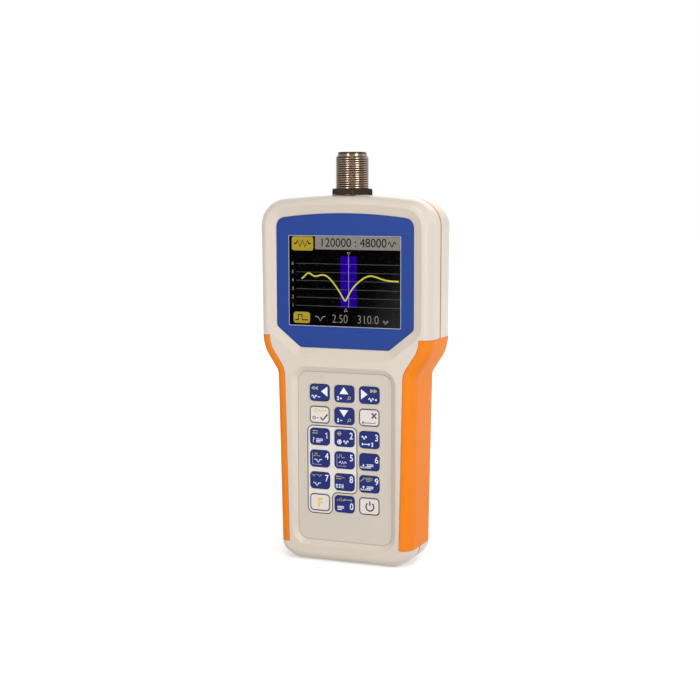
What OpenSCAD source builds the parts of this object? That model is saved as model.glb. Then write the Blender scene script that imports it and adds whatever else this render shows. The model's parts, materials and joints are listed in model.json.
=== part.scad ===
// Handheld radio antenna analyzer: moulded two-part case with a wide display head, soft side
// grips, an 18-key pad, a threaded coaxial jack on top and a battery bay in the back.
// Upright: +Z up, front towards -Y, origin in the middle of the bottom face. Millimetres.

/* [Case] */
// Width across the display head at its top
head_w = 89; // [86:0.5:94]
// Width across the shoulders, where the head meets the waist
shoulder_w = 88.2; // [85:0.5:93]
// Width across the waist, at the top of the hand grip
waist_w = 72.2; // [71:0.5:76]
// Width of the hand grip at its foot
foot_w = 68.3; // [67.5:0.5:72]
// Depth of the closed case, front rim to back
body_d = 31; // [30.5:0.5:36]
// Height of the hand grip, from the bottom to the waist
grip_h = 92.3; // [91:0.5:100]
// Height of the slanted neck between waist and shoulders
neck_h = 12; // [10:0.5:15]
// Height of the head, from the shoulders to the top
head_h = 73.7; // [72:0.5:82]
// Radius of the arched top edge, seen from the front
top_arch_r = 270; // [240:10:400]
// Corner radius at the top of the head
top_corner_r = 13.3; // [12:0.1:15]
// Wall thickness of the moulded shells
wall = 2.4; // [2:0.1:2.6]
// How far the front edge rounding reaches in from the side
front_round_in = 4.3; // [3.5:0.1:4.6]
// How far the front edge rounding reaches back
front_round_deep = 6.9; // [5.5:0.1:8]
// How far the back edge rounding reaches in from the side
back_round_in = 3; // [2.5:0.1:3.6]
// How far the back edge rounding reaches forward
back_round_deep = 7.3; // [5:0.1:8]
// Distance of the parting plane in front of the middle of the depth
parting_forward = 1.3; // [0.5:0.1:2]
// Thickness of the coloured seal between the two shells
seal_t = 0.8; // [0.6:0.1:1]
// Thickness of the soft side grips
grip_t = 1.45; // [1.2:0.05:1.6]
// How far the grips wrap round onto the front and back faces
grip_wrap = 5.6; // [5.2:0.1:5.7]

/* [Display] */
// Width of the visible picture
screen_w = 57.6; // [54:0.1:60]
// Height of the visible picture
screen_h = 43.2; // [40:0.1:45]
// Width of the coloured display bezel
bezel_w = 70.5; // [68:0.1:72]
// Space between the top of the case and the bezel
bezel_top_gap = 8.8; // [8:0.1:10]
// Space between the shoulder line and the bottom of the bezel
bezel_bottom_gap = 0.5; // [0.2:0.1:2]
// Length of the bezel's straight bottom edge
bezel_foot_w = 45.6; // [40:0.1:50]
// Height of the slanted lower corners of the bezel
bezel_chamfer_h = 9.95; // [8:0.05:12]
// Depth of the bezel and keypad seats below the front rim
seat_depth = 2; // [1.2:0.1:2.2]
// Thickness of the bezel and keypad panels
panel_t = 0.5; // [0.4:0.1:0.6]
// Display module width
lcd_w = 69.2; // [66:0.1:71]
// Display module height
lcd_h = 50; // [48:0.1:52]

/* [Keypad] */
// Width of the keypad panel
keypad_w = 48.6; // [47:0.1:50]
// Height of the keypad panel
keypad_h = 82.5; // [80:0.1:83]
// Space between the bottom of the case and the keypad panel
keypad_bottom_gap = 10.6; // [9.5:0.1:12]
// Key width
key_w = 10.64; // [9.5:0.02:11.2]
// Key height
key_h = 8.55; // [7.5:0.05:9]
// Key corner radius
key_r = 2; // [1.2:0.1:3]
// Spacing of the key columns
key_pitch_x = 12.89; // [12.7:0.01:13.2]
// Spacing of the key rows
key_pitch_z = 10.77; // [10.6:0.01:11]
// Distance from the top of the keypad panel to the centre of the first row
key_first_row = 10.05; // [9:0.05:12]
// How far a key stands proud of the panel
key_proud = 0.25; // [0.1:0.05:0.5]
// Key travel
key_travel = 0.4; // [0.2:0.05:0.45]

/* [Coaxial jack] */
// Outside diameter of the jack's thread
thread_d = 15.88; // [15:0.01:16.5]
// Height of the jack above the top of the case
jack_h = 20.1; // [17:0.1:24]
// Diameter of the plain lip at the jack's mouth
jack_lip_d = 13.8; // [12.5:0.1:14.5]
// Height of the plain lip
jack_lip_h = 2; // [1:0.1:3]
// Bore of the jack's mouth
jack_bore_d = 8.4; // [8:0.1:9]
// Depth of the jack's mouth
jack_bore_depth = 9.2; // [7:0.1:11]
// Distance across the flats of the jack's nut
nut_af = 19.05; // [18.5:0.05:20]
// Thickness of the jack's nut
nut_t = 2.9; // [2:0.1:4]
// Distance of the jack's axis in front of the middle of the depth
jack_forward = 2.8; // [1.5:0.1:4]

/* [Batteries] */
// Cell diameter
cell_d = 14.5; // [13.5:0.1:14.5]
// Cell length, over its button
cell_l = 50.5; // [44:0.1:51]
// Spacing of the cells
cell_pitch = 15.6; // [15:0.1:16]
// Length that the contact springs take at the foot or head of a cell
spring_l = 6.5; // [5:0.1:8]
// Wall of the battery tray
tray_wall = 1.6; // [1.2:0.1:2]
// Height of the bottom of the battery tray
tray_bottom = 18.2; // [17.8:0.1:20]

/* [Board] */
// Circuit board thickness
board_t = 1.6; // [1:0.1:2]
// Space between the front shell's floor and the board
board_standoff = 3.2; // [3:0.1:3.6]
// Width of the data socket
usb_w = 7.7; // [7:0.1:9]
// Height of the data socket above the board
usb_h = 3.9; // [3:0.1:4]

/* [Hidden] */
$fn = 48;
fit = 0.15;             // clearance round a piece that drops into its place
glue = 0.05;            // glue line under the grips
seam = 0.06;            // open seam at the ends of the grips
overlap = 0.5;          // how far a joined shape reaches into its neighbour
past = 1;               // how far a cutter reaches past a face

body_h = grip_h + neck_h + head_h;
front_y = -body_d / 2;
back_y = body_d / 2;
panel_y = front_y + seat_depth;
floor_front_y = panel_y + panel_t;
floor_t = 1.8;
floor_back_y = floor_front_y + floor_t;
parting_y = -parting_forward;
seal_front_y = parting_y - seal_t / 2;
seal_back_y = parting_y + seal_t / 2;
board_front_y = floor_back_y + board_standoff;
board_back_y = board_front_y + board_t;
back_inner_y = back_y - wall;
recess_t = grip_t + glue;
jack_y = -jack_forward;

// ---- Outlines: a list of corners, each rounded to its own radius ----

function unit(v) = v / norm(v);

// One rounded corner as [centre, radius, first angle, sweep, 1 where convex]
function corner_arc(before, corner, after, radius) =
    let (
        back = unit(before - corner),
        ahead = unit(after - corner),
        half = acos(back * ahead) / 2,
        centre = corner + unit(back + ahead) * radius / sin(half),
        start = corner + back * radius / tan(half) - centre,
        end = corner + ahead * radius / tan(half) - centre,
        first = atan2(start[1], start[0]),
        sweep = (atan2(end[1], end[0]) - first + 540) % 360 - 180
    )
    [centre, radius, first, sweep, cross(corner - before, after - corner) > 0 ? 1 : -1];

// A station is [point on the outline, inward normal, 1 where the grip recess lies]
function station(arc, angle, recessed = 0) =
    let (ray = [cos(angle), sin(angle)])
    [arc[0] + arc[1] * ray, -arc[4] * ray, recessed];

function arc_stations(arc, steps, recessed = 0) =
    [for (k = [0:steps]) station(arc, arc[2] + arc[3] * k / steps, recessed)];

// The right half of an arched top: it stops short of the middle, so that no station lies on it
function half_arch_stations(arc, steps) =
    [for (k = [1:steps]) station(arc, arc[2] + arc[3] * k / (2 * steps + 1))];

function mirrored(s) = [[-s[0][0], s[0][1]], [-s[1][0], s[1][1]], s[2]];

// The right half, going up, and then the left half, going down
function full_loop(half) =
    concat(half, [for (k = [len(half) - 1:-1:0]) mirrored(half[k])]);

function inset_point(s, inset) = s[0] + s[1] * inset;

function outline(half, inset = 0) = [for (s = full_loop(half)) inset_point(s, inset)];

// The corner of a shape with an arched top, and the peak where its two top slopes would meet
function arch_slope(half_width, arch_r) = asin(half_width / arch_r);
function arch_peak(top, half_width, arch_r) =
    top + arch_r * (1 / cos(arch_slope(half_width, arch_r)) - 1);
function arch_corner(top, width, half_flat, arch_r) =
    [width / 2, arch_peak(top, half_flat, arch_r) - width / 2 * tan(arch_slope(half_flat, arch_r))];

// Case outline, seen from the front
shoulder_z = grip_h + neck_h;
top_half_flat = head_w / 2 - top_corner_r + 1;
base_inset = 7.6;       // how far the flat bottom ends short of the foot's side
foot_rise = 5;          // height at which the slanted lower corner meets the side
base_r = 12;
foot_r = 7.5;
waist_r = 5;
shoulder_r = 20;
base_corner = [foot_w / 2 - base_inset, 0];
foot_corner = [foot_w / 2, foot_rise];
waist_corner = [waist_w / 2, grip_h];
shoulder_corner = [shoulder_w / 2, shoulder_z];
top_corner = arch_corner(body_h, head_w, top_half_flat, top_arch_r);
top_peak = [0, arch_peak(body_h, top_half_flat, top_arch_r)];

base_arc = corner_arc([-base_corner[0], 0], base_corner, foot_corner, base_r);
foot_arc = corner_arc(base_corner, foot_corner, waist_corner, foot_r);
waist_arc = corner_arc(foot_corner, waist_corner, shoulder_corner, waist_r);
shoulder_arc = corner_arc(waist_corner, shoulder_corner, top_corner, shoulder_r);
top_arc = corner_arc(shoulder_corner, top_corner, top_peak, top_corner_r);
arch_arc = corner_arc(top_corner, top_peak, [-top_corner[0], top_corner[1]], top_arch_r);

function raised(s, dz, recessed) = [s[0] + [0, dz], s[1], recessed];

foot_stations = concat(arc_stations(base_arc, 3), arc_stations(foot_arc, 4));
grip_start = foot_stations[len(foot_stations) - 1];
neck_stations = concat(arc_stations(waist_arc, 4, 1), arc_stations(shoulder_arc, 5, 1));
grip_end = neck_stations[len(neck_stations) - 1];
head_stations = concat(arc_stations(top_arc, 9), half_arch_stations(arch_arc, 5));

case_half = concat(
    foot_stations,
    [raised(grip_start, seam, 1)],
    neck_stations,
    [raised(grip_end, seam, 0)],
    head_stations
);
grip_path = concat(
    [raised(grip_start, 2 * seam, 1)],
    [for (k = [0:len(neck_stations) - 2]) neck_stations[k]],
    [raised(grip_end, -seam, 1)]
);

// Bezel outline
bezel_bottom = shoulder_z + bezel_bottom_gap;
bezel_top = body_h - bezel_top_gap;
bezel_h = bezel_top - bezel_bottom;
screen_z = (bezel_top + bezel_bottom) / 2 - 0.1;
bezel_arch_r = 240;
bezel_corner_r = 4.5;

function bezel_stations(width, foot_width, bottom, chamfer_top, top, corner_r) =
    let (
        half_flat = width / 2 - corner_r,
        foot = [foot_width / 2, bottom],
        side = [width / 2, chamfer_top],
        corner = arch_corner(top, width, half_flat, bezel_arch_r),
        peak = [0, arch_peak(top, half_flat, bezel_arch_r)],
        opposite = [-corner[0], corner[1]]
    )
    concat(
        arc_stations(corner_arc([-foot[0], bottom], foot, side, 2), 2),
        arc_stations(corner_arc(foot, side, corner, 2.5), 2),
        arc_stations(corner_arc(side, corner, peak, corner_r), 5),
        half_arch_stations(corner_arc(corner, peak, opposite, bezel_arch_r), 5)
    );

bezel_half = bezel_stations(bezel_w, bezel_foot_w, bezel_bottom,
    bezel_bottom + bezel_chamfer_h, bezel_top, bezel_corner_r);
dish_flare = 4.5;       // how far the sloping wall round the bezel reaches outwards

// Keypad panel outline
keypad_top = keypad_bottom_gap + keypad_h;
keypad_corner_r = 5;

function panel_stations(width, bottom, top, corner_r) =
    let (foot = [width / 2, bottom], head = [width / 2, top])
    concat(
        arc_stations(corner_arc([-foot[0], bottom], foot, head, corner_r), 5),
        arc_stations(corner_arc(foot, head, [-head[0], top], corner_r), 5)
    );

keypad_half = panel_stations(keypad_w, keypad_bottom_gap, keypad_top, keypad_corner_r);
keypad_flare = 2.6;     // how far the sloping wall round the keypad reaches outwards

// ---- Solids swept round an outline ----

function quad(a, b, c, d) = [[a, b, c], [a, c, d]];

// Faces between ring j and ring j + 1 of n points each
function band_faces(j, n) =
    [for (i = [0:n - 1]) each
        quad(j * n + i, j * n + (i + 1) % n, (j + 1) * n + (i + 1) % n, (j + 1) * n + i)];

// A flat cap: rungs that run from the right half to the mirrored left half
function ladder_faces(start, n) =
    [for (i = [0:n / 2 - 2]) each
        quad(start + i, start + i + 1, start + n - 2 - i, start + n - 1 - i)];

function flipped(faces) = [for (f = faces) [f[2], f[1], f[0]]];

// profile: rings from the outer cap to the inner cap, each [inset, y, inset at a grip, y at a grip]
module bowl(half, profile) {
    loop = full_loop(half);
    n = len(loop);
    points = [
        for (ring = profile)
        for (s = loop)
        let (p = inset_point(s, ring[2 * s[2]]))
        [p[0], ring[1 + 2 * s[2]], p[1]]
    ];
    faces = concat(
        [for (j = [0:len(profile) - 2]) each band_faces(j, n)],
        flipped(ladder_faces(0, n)),
        ladder_faces((len(profile) - 1) * n, n)
    );
    polyhedron(points, front_first(profile) ? faces : flipped(faces));
}

function front_first(profile) = profile[0][1] < profile[len(profile) - 1][1];

// A closed band all round the outline, with a small profile of the same form
module hoop(half, profile) {
    loop = full_loop(half);
    n = len(loop);
    points = [
        for (ring = profile)
        for (s = loop)
        let (p = inset_point(s, ring[2 * s[2]]))
        [p[0], ring[1 + 2 * s[2]], p[1]]
    ];
    total = n * len(profile);
    faces = [for (j = [0:len(profile) - 1]) each band_faces(j, n)];
    polyhedron(points, [for (f = faces) [for (v = f) v % total]]);
}

// The space above a panel: its outline at the panel, flaring outwards to the front rim and past
module flare(half, spread) {
    loop = full_loop(half);
    n = len(loop);
    reach = spread * (seat_depth + past) / seat_depth;
    points = concat(
        [for (s = loop) let (p = inset_point(s, -reach)) [p[0], front_y - past, p[1]]],
        [for (s = loop) [s[0][0], panel_y, s[0][1]]]
    );
    polyhedron(points, concat(band_faces(0, n), flipped(ladder_faces(0, n)), ladder_faces(n, n)));
}

// A plate of the given 2D outline, from depth y0 to depth y1
module plate(y0, y1) {
    translate([0, y1, 0])
        rotate([90, 0, 0])
            linear_extrude(y1 - y0) children();
}

// A round bar along Y
module bar_y(x, z, r, y0, y1) {
    translate([x, y1, z]) rotate([90, 0, 0]) cylinder(r = r, h = y1 - y0);
}

module box(x0, x1, y0, y1, z0, z1) {
    translate([x0, y0, z0]) cube([x1 - x0, y1 - y0, z1 - z0]);
}

function rounded_box(w, h, r, steps = 4) = [
    for (q = [0:3])
    for (k = [0:steps])
    let (
        centre = [(q == 0 || q == 3 ? 1 : -1) * (w / 2 - r), (q < 2 ? 1 : -1) * (h / 2 - r)],
        angle = 90 * q + 90 * k / steps
    )
    centre + r * [cos(angle), sin(angle)]
];

// ---- Edge rounding of the case, as [inset, y] ----

function front_round(k, n) =
    [front_round_in * (1 - sin(90 * k / n)), front_y + front_round_deep * (1 - cos(90 * k / n))];
function back_round(k, n) =
    [back_round_in * (1 - cos(90 * k / n)), back_y - back_round_deep * (1 - sin(90 * k / n))];

// The inward normal of an elliptical rounding
function round_normal(across, along, a, b) = unit([across / a, along / b]);
function front_normal(k, n) = round_normal(sin(90 * k / n), cos(90 * k / n), front_round_in, front_round_deep);
function back_normal(k, n) =
    round_normal(cos(90 * k / n), -sin(90 * k / n), back_round_in, back_round_deep);

round_steps = 6;
grip_edge = grip_wrap + seam;

// The outside of the front half, from the rim's flat towards the parting plane
function front_skin(depth) = concat(
    [[grip_edge, front_y + depth]],
    [for (k = [0:round_steps]) front_round(k, round_steps) + front_normal(k, round_steps) * depth]
);
function back_skin(depth) = concat(
    [for (k = [0:round_steps]) back_round(k, round_steps) + back_normal(k, round_steps) * depth],
    [[grip_edge, back_y - depth]]
);

function paired(a, b) = [for (k = [0:len(a) - 1]) concat(a[k], b[k])];
function level_ring(inset, y) = [inset, y, inset + recess_t, y];

inner_corner = 3.2;

front_profile = concat(
    [[grip_edge + seam, front_y, grip_edge + seam, front_y]],
    paired(front_skin(0), front_skin(recess_t)),
    [level_ring(0, seal_front_y),
     level_ring(wall, seal_front_y),
     level_ring(wall, floor_back_y + inner_corner),
     level_ring(wall + 2, floor_back_y)]
);
back_profile = concat(
    [level_ring(wall + 2, back_inner_y),
     level_ring(wall, back_inner_y - inner_corner),
     level_ring(wall, seal_back_y),
     level_ring(0, seal_back_y)],
    paired(back_skin(0), back_skin(recess_t)),
    [[grip_edge + seam, back_y, grip_edge + seam, back_y]]
);

// ---- Screws and their bosses ----

case_boss_r = 3.2;
rear_boss_r = 4.4;
head_screw_in = 11;     // the upper case screws, in from the side and down from the top
head_screw_down = 11.5;
foot_screw_in = 8.3;    // the lower ones, in from the side and up from the bottom
foot_screw_up = 7;
case_screws = [
    for (side = [-1, 1]) each [
        [side * (head_w / 2 - head_screw_in), body_h - head_screw_down],
        [side * (foot_w / 2 - foot_screw_in), foot_screw_up]
    ]
];
board_boss_r = 2.4;
top_tap_x = 21;         // the board's screws beside the jack,
top_tap_down = 9.5;
waist_tap_in = 3.2;     // above the waist,
waist_tap_up = 8.7;
foot_tap_in = 7;        // and at the foot
foot_tap_up = 15.5;
board_screws = [
    for (side = [-1, 1]) each [
        [side * top_tap_x, body_h - top_tap_down],
        [side * (waist_w / 2 - waist_tap_in), grip_h + waist_tap_up],
        [side * (foot_w / 2 - foot_tap_in), foot_tap_up]
    ]
];
screw_head_r = 2.8;
screw_head_t = 1.6;
screw_cross_w = 3;
screw_cross_t = 0.7;
screw_cross_deep = 0.8;
case_screw_r = 1.45;
board_screw_r = 0.95;
case_screw_seat_y = 6.5;
case_screw_l = 15;

// ---- Case ----

// The hole for the jack, and the round seat for its flange under the roof of the case
module jack_hole() {
    translate([0, jack_y, flange_bottom - 0.5])
        cylinder(r = flange_r + 2 * fit, h = washer_top - flange_bottom + 0.5);
    translate([0, jack_y, flange_bottom])
        cylinder(d = thread_root_d + 2 * fit, h = body_h);
}

usb_y = board_back_y + usb_h / 2;

module usb_hole() {
    box(-usb_w / 2 - 2 * fit, usb_w / 2 + 2 * fit,
        board_back_y - fit, board_back_y + usb_h + 2 * fit, -past, wall + past);
}

// The wider slope below the bezel: part of a shallow cone, ended by the slanted lower corners
sill_r = 118;
sill_flare = 6.4;

module sill_cutter() {
    half = bezel_foot_w / 2;
    reach = (seat_depth + past) / seat_depth;
    intersection() {
        translate([0, panel_y, bezel_bottom + sill_r - sill_flare])
            rotate([90, 0, 0])
                cylinder(r1 = sill_r - sill_flare, r2 = sill_r - sill_flare + sill_flare * reach,
                    h = seat_depth + past, $fn = 240);
        plate(front_y - 2 * past, panel_y + past)
            polygon([
                [-half, bezel_bottom + 1], [-half, bezel_bottom],
                [-half - 1.6, bezel_bottom - dish_flare], [-half - 1.6, bezel_bottom - 2 * dish_flare],
                [half + 1.6, bezel_bottom - 2 * dish_flare], [half + 1.6, bezel_bottom - dish_flare],
                [half, bezel_bottom], [half, bezel_bottom + 1]
            ]);
    }
}

module key_outline(grow) {
    polygon(rounded_box(key_w + 2 * grow, key_h + 2 * grow, key_r + grow));
}

key_columns = 3;
key_rows = 6;
function key_x(column) = (column - 1) * key_pitch_x;
function key_z(row) = keypad_top - key_first_row - row * key_pitch_z;

module each_key() {
    for (row = [0:key_rows - 1])
        for (column = [0:key_columns - 1])
            translate([key_x(column), key_z(row)]) children();
}

lcd_offset_x = 2.4;
lcd_glass_w = screen_w + 3.4;
lcd_glass_h = screen_h + 3.2;
lens_t = 0.7;

module front_shell() {
    color([0.84, 0.80, 0.74])
    difference() {
        union() {
            bowl(case_half, front_profile);
            for (p = case_screws)
                bar_y(p[0], p[1], case_boss_r, floor_back_y - overlap, parting_y);
            for (p = board_screws)
                bar_y(p[0], p[1], board_boss_r, floor_back_y - overlap, board_front_y);
        }
        flare(bezel_half, dish_flare);
        sill_cutter();
        plate(panel_y - past, floor_front_y) polygon(outline(bezel_half, -fit));
        flare(keypad_half, keypad_flare);
        plate(panel_y - past, floor_front_y) polygon(outline(keypad_half, -fit));
        plate(floor_front_y - past, floor_back_y + past)
            each_key() key_outline(0);
        plate(floor_front_y - past, floor_back_y + past)
            translate([0, screen_z]) square([lcd_glass_w + 2 * fit, lcd_glass_h + 2 * fit], center = true);
        for (p = case_screws)
            bar_y(p[0], p[1], case_screw_r + 0.05, case_screw_seat_y - case_screw_l - past, parting_y + past);
        for (p = board_screws)
            bar_y(p[0], p[1], board_screw_r + 0.05, floor_back_y - 1, board_front_y + past);
        jack_hole();
        usb_hole();
    }
}

door_w = 51;
door_bottom = 14.3;
door_top = tray_bottom + 2 * tray_wall + cell_l + spring_l + 2.5;
door_gap = 0.3;

module door_outline(grow) {
    translate([0, (door_bottom + door_top) / 2])
        polygon(rounded_box(door_w + 2 * grow, door_top - door_bottom + 2 * grow, 3 + grow));
}

module rear_shell() {
    color([0.84, 0.80, 0.74])
    difference() {
        union() {
            bowl(case_half, back_profile);
            for (p = case_screws)
                bar_y(p[0], p[1], rear_boss_r, parting_y, back_inner_y + overlap);
        }
        plate(back_inner_y - past, back_y + past) door_outline(door_gap);
        for (p = case_screws) {
            bar_y(p[0], p[1], screw_head_r + fit, case_screw_seat_y, back_y + past);
            bar_y(p[0], p[1], case_screw_r + 0.1, parting_y - past, back_y + past);
        }
        jack_hole();
    }
}

seal_inset = 0.12;
seal_w = 1.5;

module case_seal() {
    color([0.90, 0.45, 0.20])
    difference() {
        hoop(case_half, [
            level_ring(seal_inset, seal_front_y),
            level_ring(seal_inset, seal_back_y),
            level_ring(seal_inset + seal_w, seal_back_y),
            level_ring(seal_inset + seal_w, seal_front_y)
        ]);
        jack_hole();
    }
}

// ---- Soft side grips: a thick patch swept along one side of the outline ----

grip_outside = concat(
    [[grip_wrap, front_y]],
    [for (k = [0:round_steps]) front_round(k, round_steps)],
    [for (k = [round_steps:-1:0]) back_round(round_steps - k, round_steps)],
    [[grip_wrap, back_y]]
);
grip_inside = concat(
    [[grip_wrap, front_y + grip_t]],
    [for (k = [0:round_steps]) front_round(k, round_steps) + front_normal(k, round_steps) * grip_t],
    [for (k = [0:round_steps]) back_round(k, round_steps) + back_normal(k, round_steps) * grip_t],
    [[grip_wrap, back_y - grip_t]]
);

module right_grip_solid() {
    m = len(grip_outside);
    n = 2 * m;
    section = concat(grip_outside, [for (k = [m - 1:-1:0]) grip_inside[k]]);
    points = [
        for (s = grip_path)
        for (q = section)
        let (p = inset_point(s, q[0]))
        [p[0], q[1], p[1]]
    ];
    last = (len(grip_path) - 1) * n;
    faces = concat(
        [for (j = [0:len(grip_path) - 2]) each band_faces(j, n)],
        flipped(ladder_faces(0, n)),
        ladder_faces(last, n)
    );
    polyhedron(points, flipped(faces));
}

module right_grip() {
    color([0.98, 0.52, 0.12]) right_grip_solid();
}

module left_grip() {
    color([0.98, 0.52, 0.12]) mirror([1, 0, 0]) right_grip_solid();
}

// ---- Display ----

module display_bezel() {
    color([0.18, 0.29, 0.62])
    plate(panel_y, floor_front_y)
        difference() {
            polygon(outline(bezel_half));
            translate([0, screen_z]) square([screen_w, screen_h], center = true);
        }
}

lcd_glass_front_y = panel_y + 0.1 + lens_t;
gasket_t = 0.5;
lcd_frame_front_y = floor_back_y + gasket_t;

module display_window() {
    color([0.1, 0.1, 0.12, 0.5])
    plate(panel_y + 0.1, panel_y + 0.1 + lens_t)
        translate([0, screen_z]) square([screen_w - 0.2, screen_h - 0.2], center = true);
}

// Display module: glass that stands up into the shell's opening, on a frame against the board
module lcd_module() {
    color([0.12, 0.12, 0.14]) {
        plate(lcd_frame_front_y, board_front_y)
            translate([lcd_offset_x, screen_z]) square([lcd_w, lcd_h], center = true);
        plate(lcd_glass_front_y, lcd_frame_front_y + overlap)
            translate([0, screen_z]) square([lcd_glass_w, lcd_glass_h], center = true);
    }
}

// Foam frame between the shell's floor and the display's frame
module display_gasket() {
    color([0.15, 0.15, 0.16])
    plate(floor_back_y, lcd_frame_front_y)
        translate([0, screen_z])
            difference() {
                square([lcd_glass_w + 4, lcd_glass_h + 3], center = true);
                square([lcd_glass_w + 2 * fit, lcd_glass_h + 2 * fit], center = true);
            }
}

ribbon_t = 0.3;
ribbon_w = 20;
ribbon_rise = 1;        // how far in front of the board the ribbon leaves the display
ribbon_out = 1.2;       // how far its bend lies past the display's edge
ribbon_tail = 4;        // how far it runs back in behind the board
lcd_edge_x = lcd_offset_x + lcd_w / 2;
ribbon_slot_x = lcd_edge_x + ribbon_out;

// Flat ribbon, bent from the edge of the display through a slot in the board to its back
module display_ribbon() {
    lead_y = board_front_y - ribbon_rise;
    color([0.75, 0.50, 0.15])
    translate([0, 0, screen_z - ribbon_w / 2])
        linear_extrude(ribbon_w)
            polygon([
                [lcd_edge_x, lead_y],
                [ribbon_slot_x, lead_y],
                [ribbon_slot_x, board_back_y + ribbon_t],
                [lcd_edge_x - ribbon_tail, board_back_y + ribbon_t],
                [lcd_edge_x - ribbon_tail, board_back_y],
                [ribbon_slot_x - ribbon_t, board_back_y],
                [ribbon_slot_x - ribbon_t, lead_y + ribbon_t],
                [lcd_edge_x, lead_y + ribbon_t]
            ]);
}

// ---- Keypad ----

module keypad_panel() {
    color([0.82, 0.78, 0.72])
    plate(panel_y, floor_front_y)
        difference() {
            polygon(outline(keypad_half));
            each_key() key_outline(0);
        }
}

key_flange = 0.75;
key_gap = 0.1;
plunger_r = 2;
dome_h = 1.1;

// One key: a cap through the panel and floor, a flange behind the floor and a plunger to its dome
module key(row, column, tint) {
    flange_front = floor_back_y + key_gap;
    flange_back = flange_front + 0.8;
    dome_front = board_front_y - dome_h;
    color(tint)
    translate([key_x(column), 0, key_z(row)]) {
        plate(panel_y - key_proud, flange_back) key_outline(-fit);
        plate(flange_front, flange_back) key_outline(key_flange);
        bar_y(0, 0, plunger_r, flange_back - overlap, dome_front - key_travel - 0.1);
    }
}

module key_domes() {
    color([0.75, 0.76, 0.78])
    for (row = [0:key_rows - 1])
        for (column = [0:key_columns - 1])
            translate([key_x(column), board_front_y, key_z(row)])
                rotate([90, 0, 0]) cylinder(r1 = 3.5, r2 = 2, h = dome_h);
}

// ---- Circuit board and what it carries ----

board_gap = 0.7;        // space between the board and the recesses of the grips
boss_play = 0.3;        // space round a screw boss that passes the board
flange_play = 0.8;      // space beside the jack's flange in the board's notch
slot_inset = 1;         // how far the ribbon's slot reaches in from the ribbon's bend
slot_play = 0.5;        // space at each end of the slot
board_inset = wall + recess_t + board_gap;

module main_board() {
    color([0.10, 0.42, 0.22])
    plate(board_front_y, board_back_y)
        difference() {
            polygon(outline(case_half, board_inset));
            for (p = case_screws)
                translate(p) circle(r = case_boss_r + boss_play);
            for (p = board_screws)
                translate(p) circle(r = board_screw_r + fit);
            translate([ribbon_slot_x - slot_inset, screen_z - ribbon_w / 2 - slot_play])
                square([head_w, ribbon_w + 2 * slot_play]);
            translate([-flange_r - flange_play, board_notch_z])
                square([2 * (flange_r + flange_play), head_h]);
        }
}

module board_screw(x, z) {
    bar_y(x, z, 2, board_back_y, board_back_y + 1.4);
    bar_y(x, z, board_screw_r, floor_back_y - 0.8, board_back_y + overlap);
}

module board_screws_set() {
    color([0.7, 0.7, 0.72])
    for (p = board_screws)
        difference() {
            board_screw(p[0], p[1]);
            translate([p[0] - 1.4, board_back_y + 0.9, p[1] - 0.25]) cube([2.8, 1, 0.5]);
        }
}

chip_t = 1.2;
small_chip_t = 1.1;
chips_drop = 5;         // the large chips' row starts this far below the top of the keypad panel
processor_x = -19;
processor_w = 14;
tuner_x = 11;
tuner_w = 10;
tuner_lift = 2;         // how far the tuner's foot lies above the processor's
crystal_x = -1.5;
crystal_w = 5;
crystal_h = 4;
crystal_lift = 4;       // how far the crystal's foot lies above the processor's
small_chip_w = 6;
small_chip_h = 8;
charger_z = 50;
driver_x = 15;
driver_z = 36;
clamp_w = 3.8;
clamp_t = 1.4;
clamp_gap = 0.2;        // space between the ribbon's end and its clamp
clamp_past = 1;         // how far the clamp reaches past the ribbon at each side

// A flat part on the back of the board: its middle, its foot and its size
module on_board(x, foot, w, h, t) {
    box(x - w / 2, x + w / 2, board_back_y, board_back_y + t, foot, foot + h);
}

// Chips, a crystal and the ribbon's clamp on the back of the board
module board_parts() {
    chips_z = keypad_top - chips_drop;
    color([0.1, 0.1, 0.11]) {
        on_board(processor_x, chips_z, processor_w, processor_w, chip_t);
        on_board(tuner_x, chips_z + tuner_lift, tuner_w, tuner_w, chip_t);
        on_board(crystal_x, chips_z + crystal_lift, crystal_w, crystal_h, small_chip_t);
        on_board(processor_x, charger_z, small_chip_w, small_chip_h, small_chip_t);
        on_board(driver_x, driver_z, small_chip_w, small_chip_h, small_chip_t);
        on_board(lcd_edge_x - ribbon_tail - clamp_gap - clamp_w / 2,
            screen_z - ribbon_w / 2 - clamp_past, clamp_w, ribbon_w + 2 * clamp_past, clamp_t);
    }
}

shield_w = 42;
shield_h = 30;
shield_d = 6;
shield_t = 0.4;
shield_top_gap = 16;
shield_z = body_h - shield_top_gap - shield_h;

module rf_shield() {
    color([0.78, 0.79, 0.80])
    difference() {
        box(-shield_w / 2, shield_w / 2, board_back_y, board_back_y + shield_d,
            shield_z, shield_z + shield_h);
        box(-shield_w / 2 + shield_t, shield_w / 2 - shield_t,
            board_back_y - past, board_back_y + shield_d - shield_t,
            shield_z + shield_t, shield_z + shield_h - shield_t);
    }
}

sounder_r = 6;
sounder_h = 5.5;
sounder_x = -29;
sounder_drop = 4;       // its middle below the foot of the shield can
sound_hole_r = 1;
sound_hole_deep = 1.5;

module sounder() {
    z = shield_z - sounder_drop;
    back = board_back_y + sounder_h;
    color([0.08, 0.08, 0.08])
    difference() {
        bar_y(sounder_x, z, sounder_r, board_back_y, back);
        bar_y(sounder_x, z, sound_hole_r, back - sound_hole_deep, back + past);
    }
}

usb_l = 9;

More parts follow.
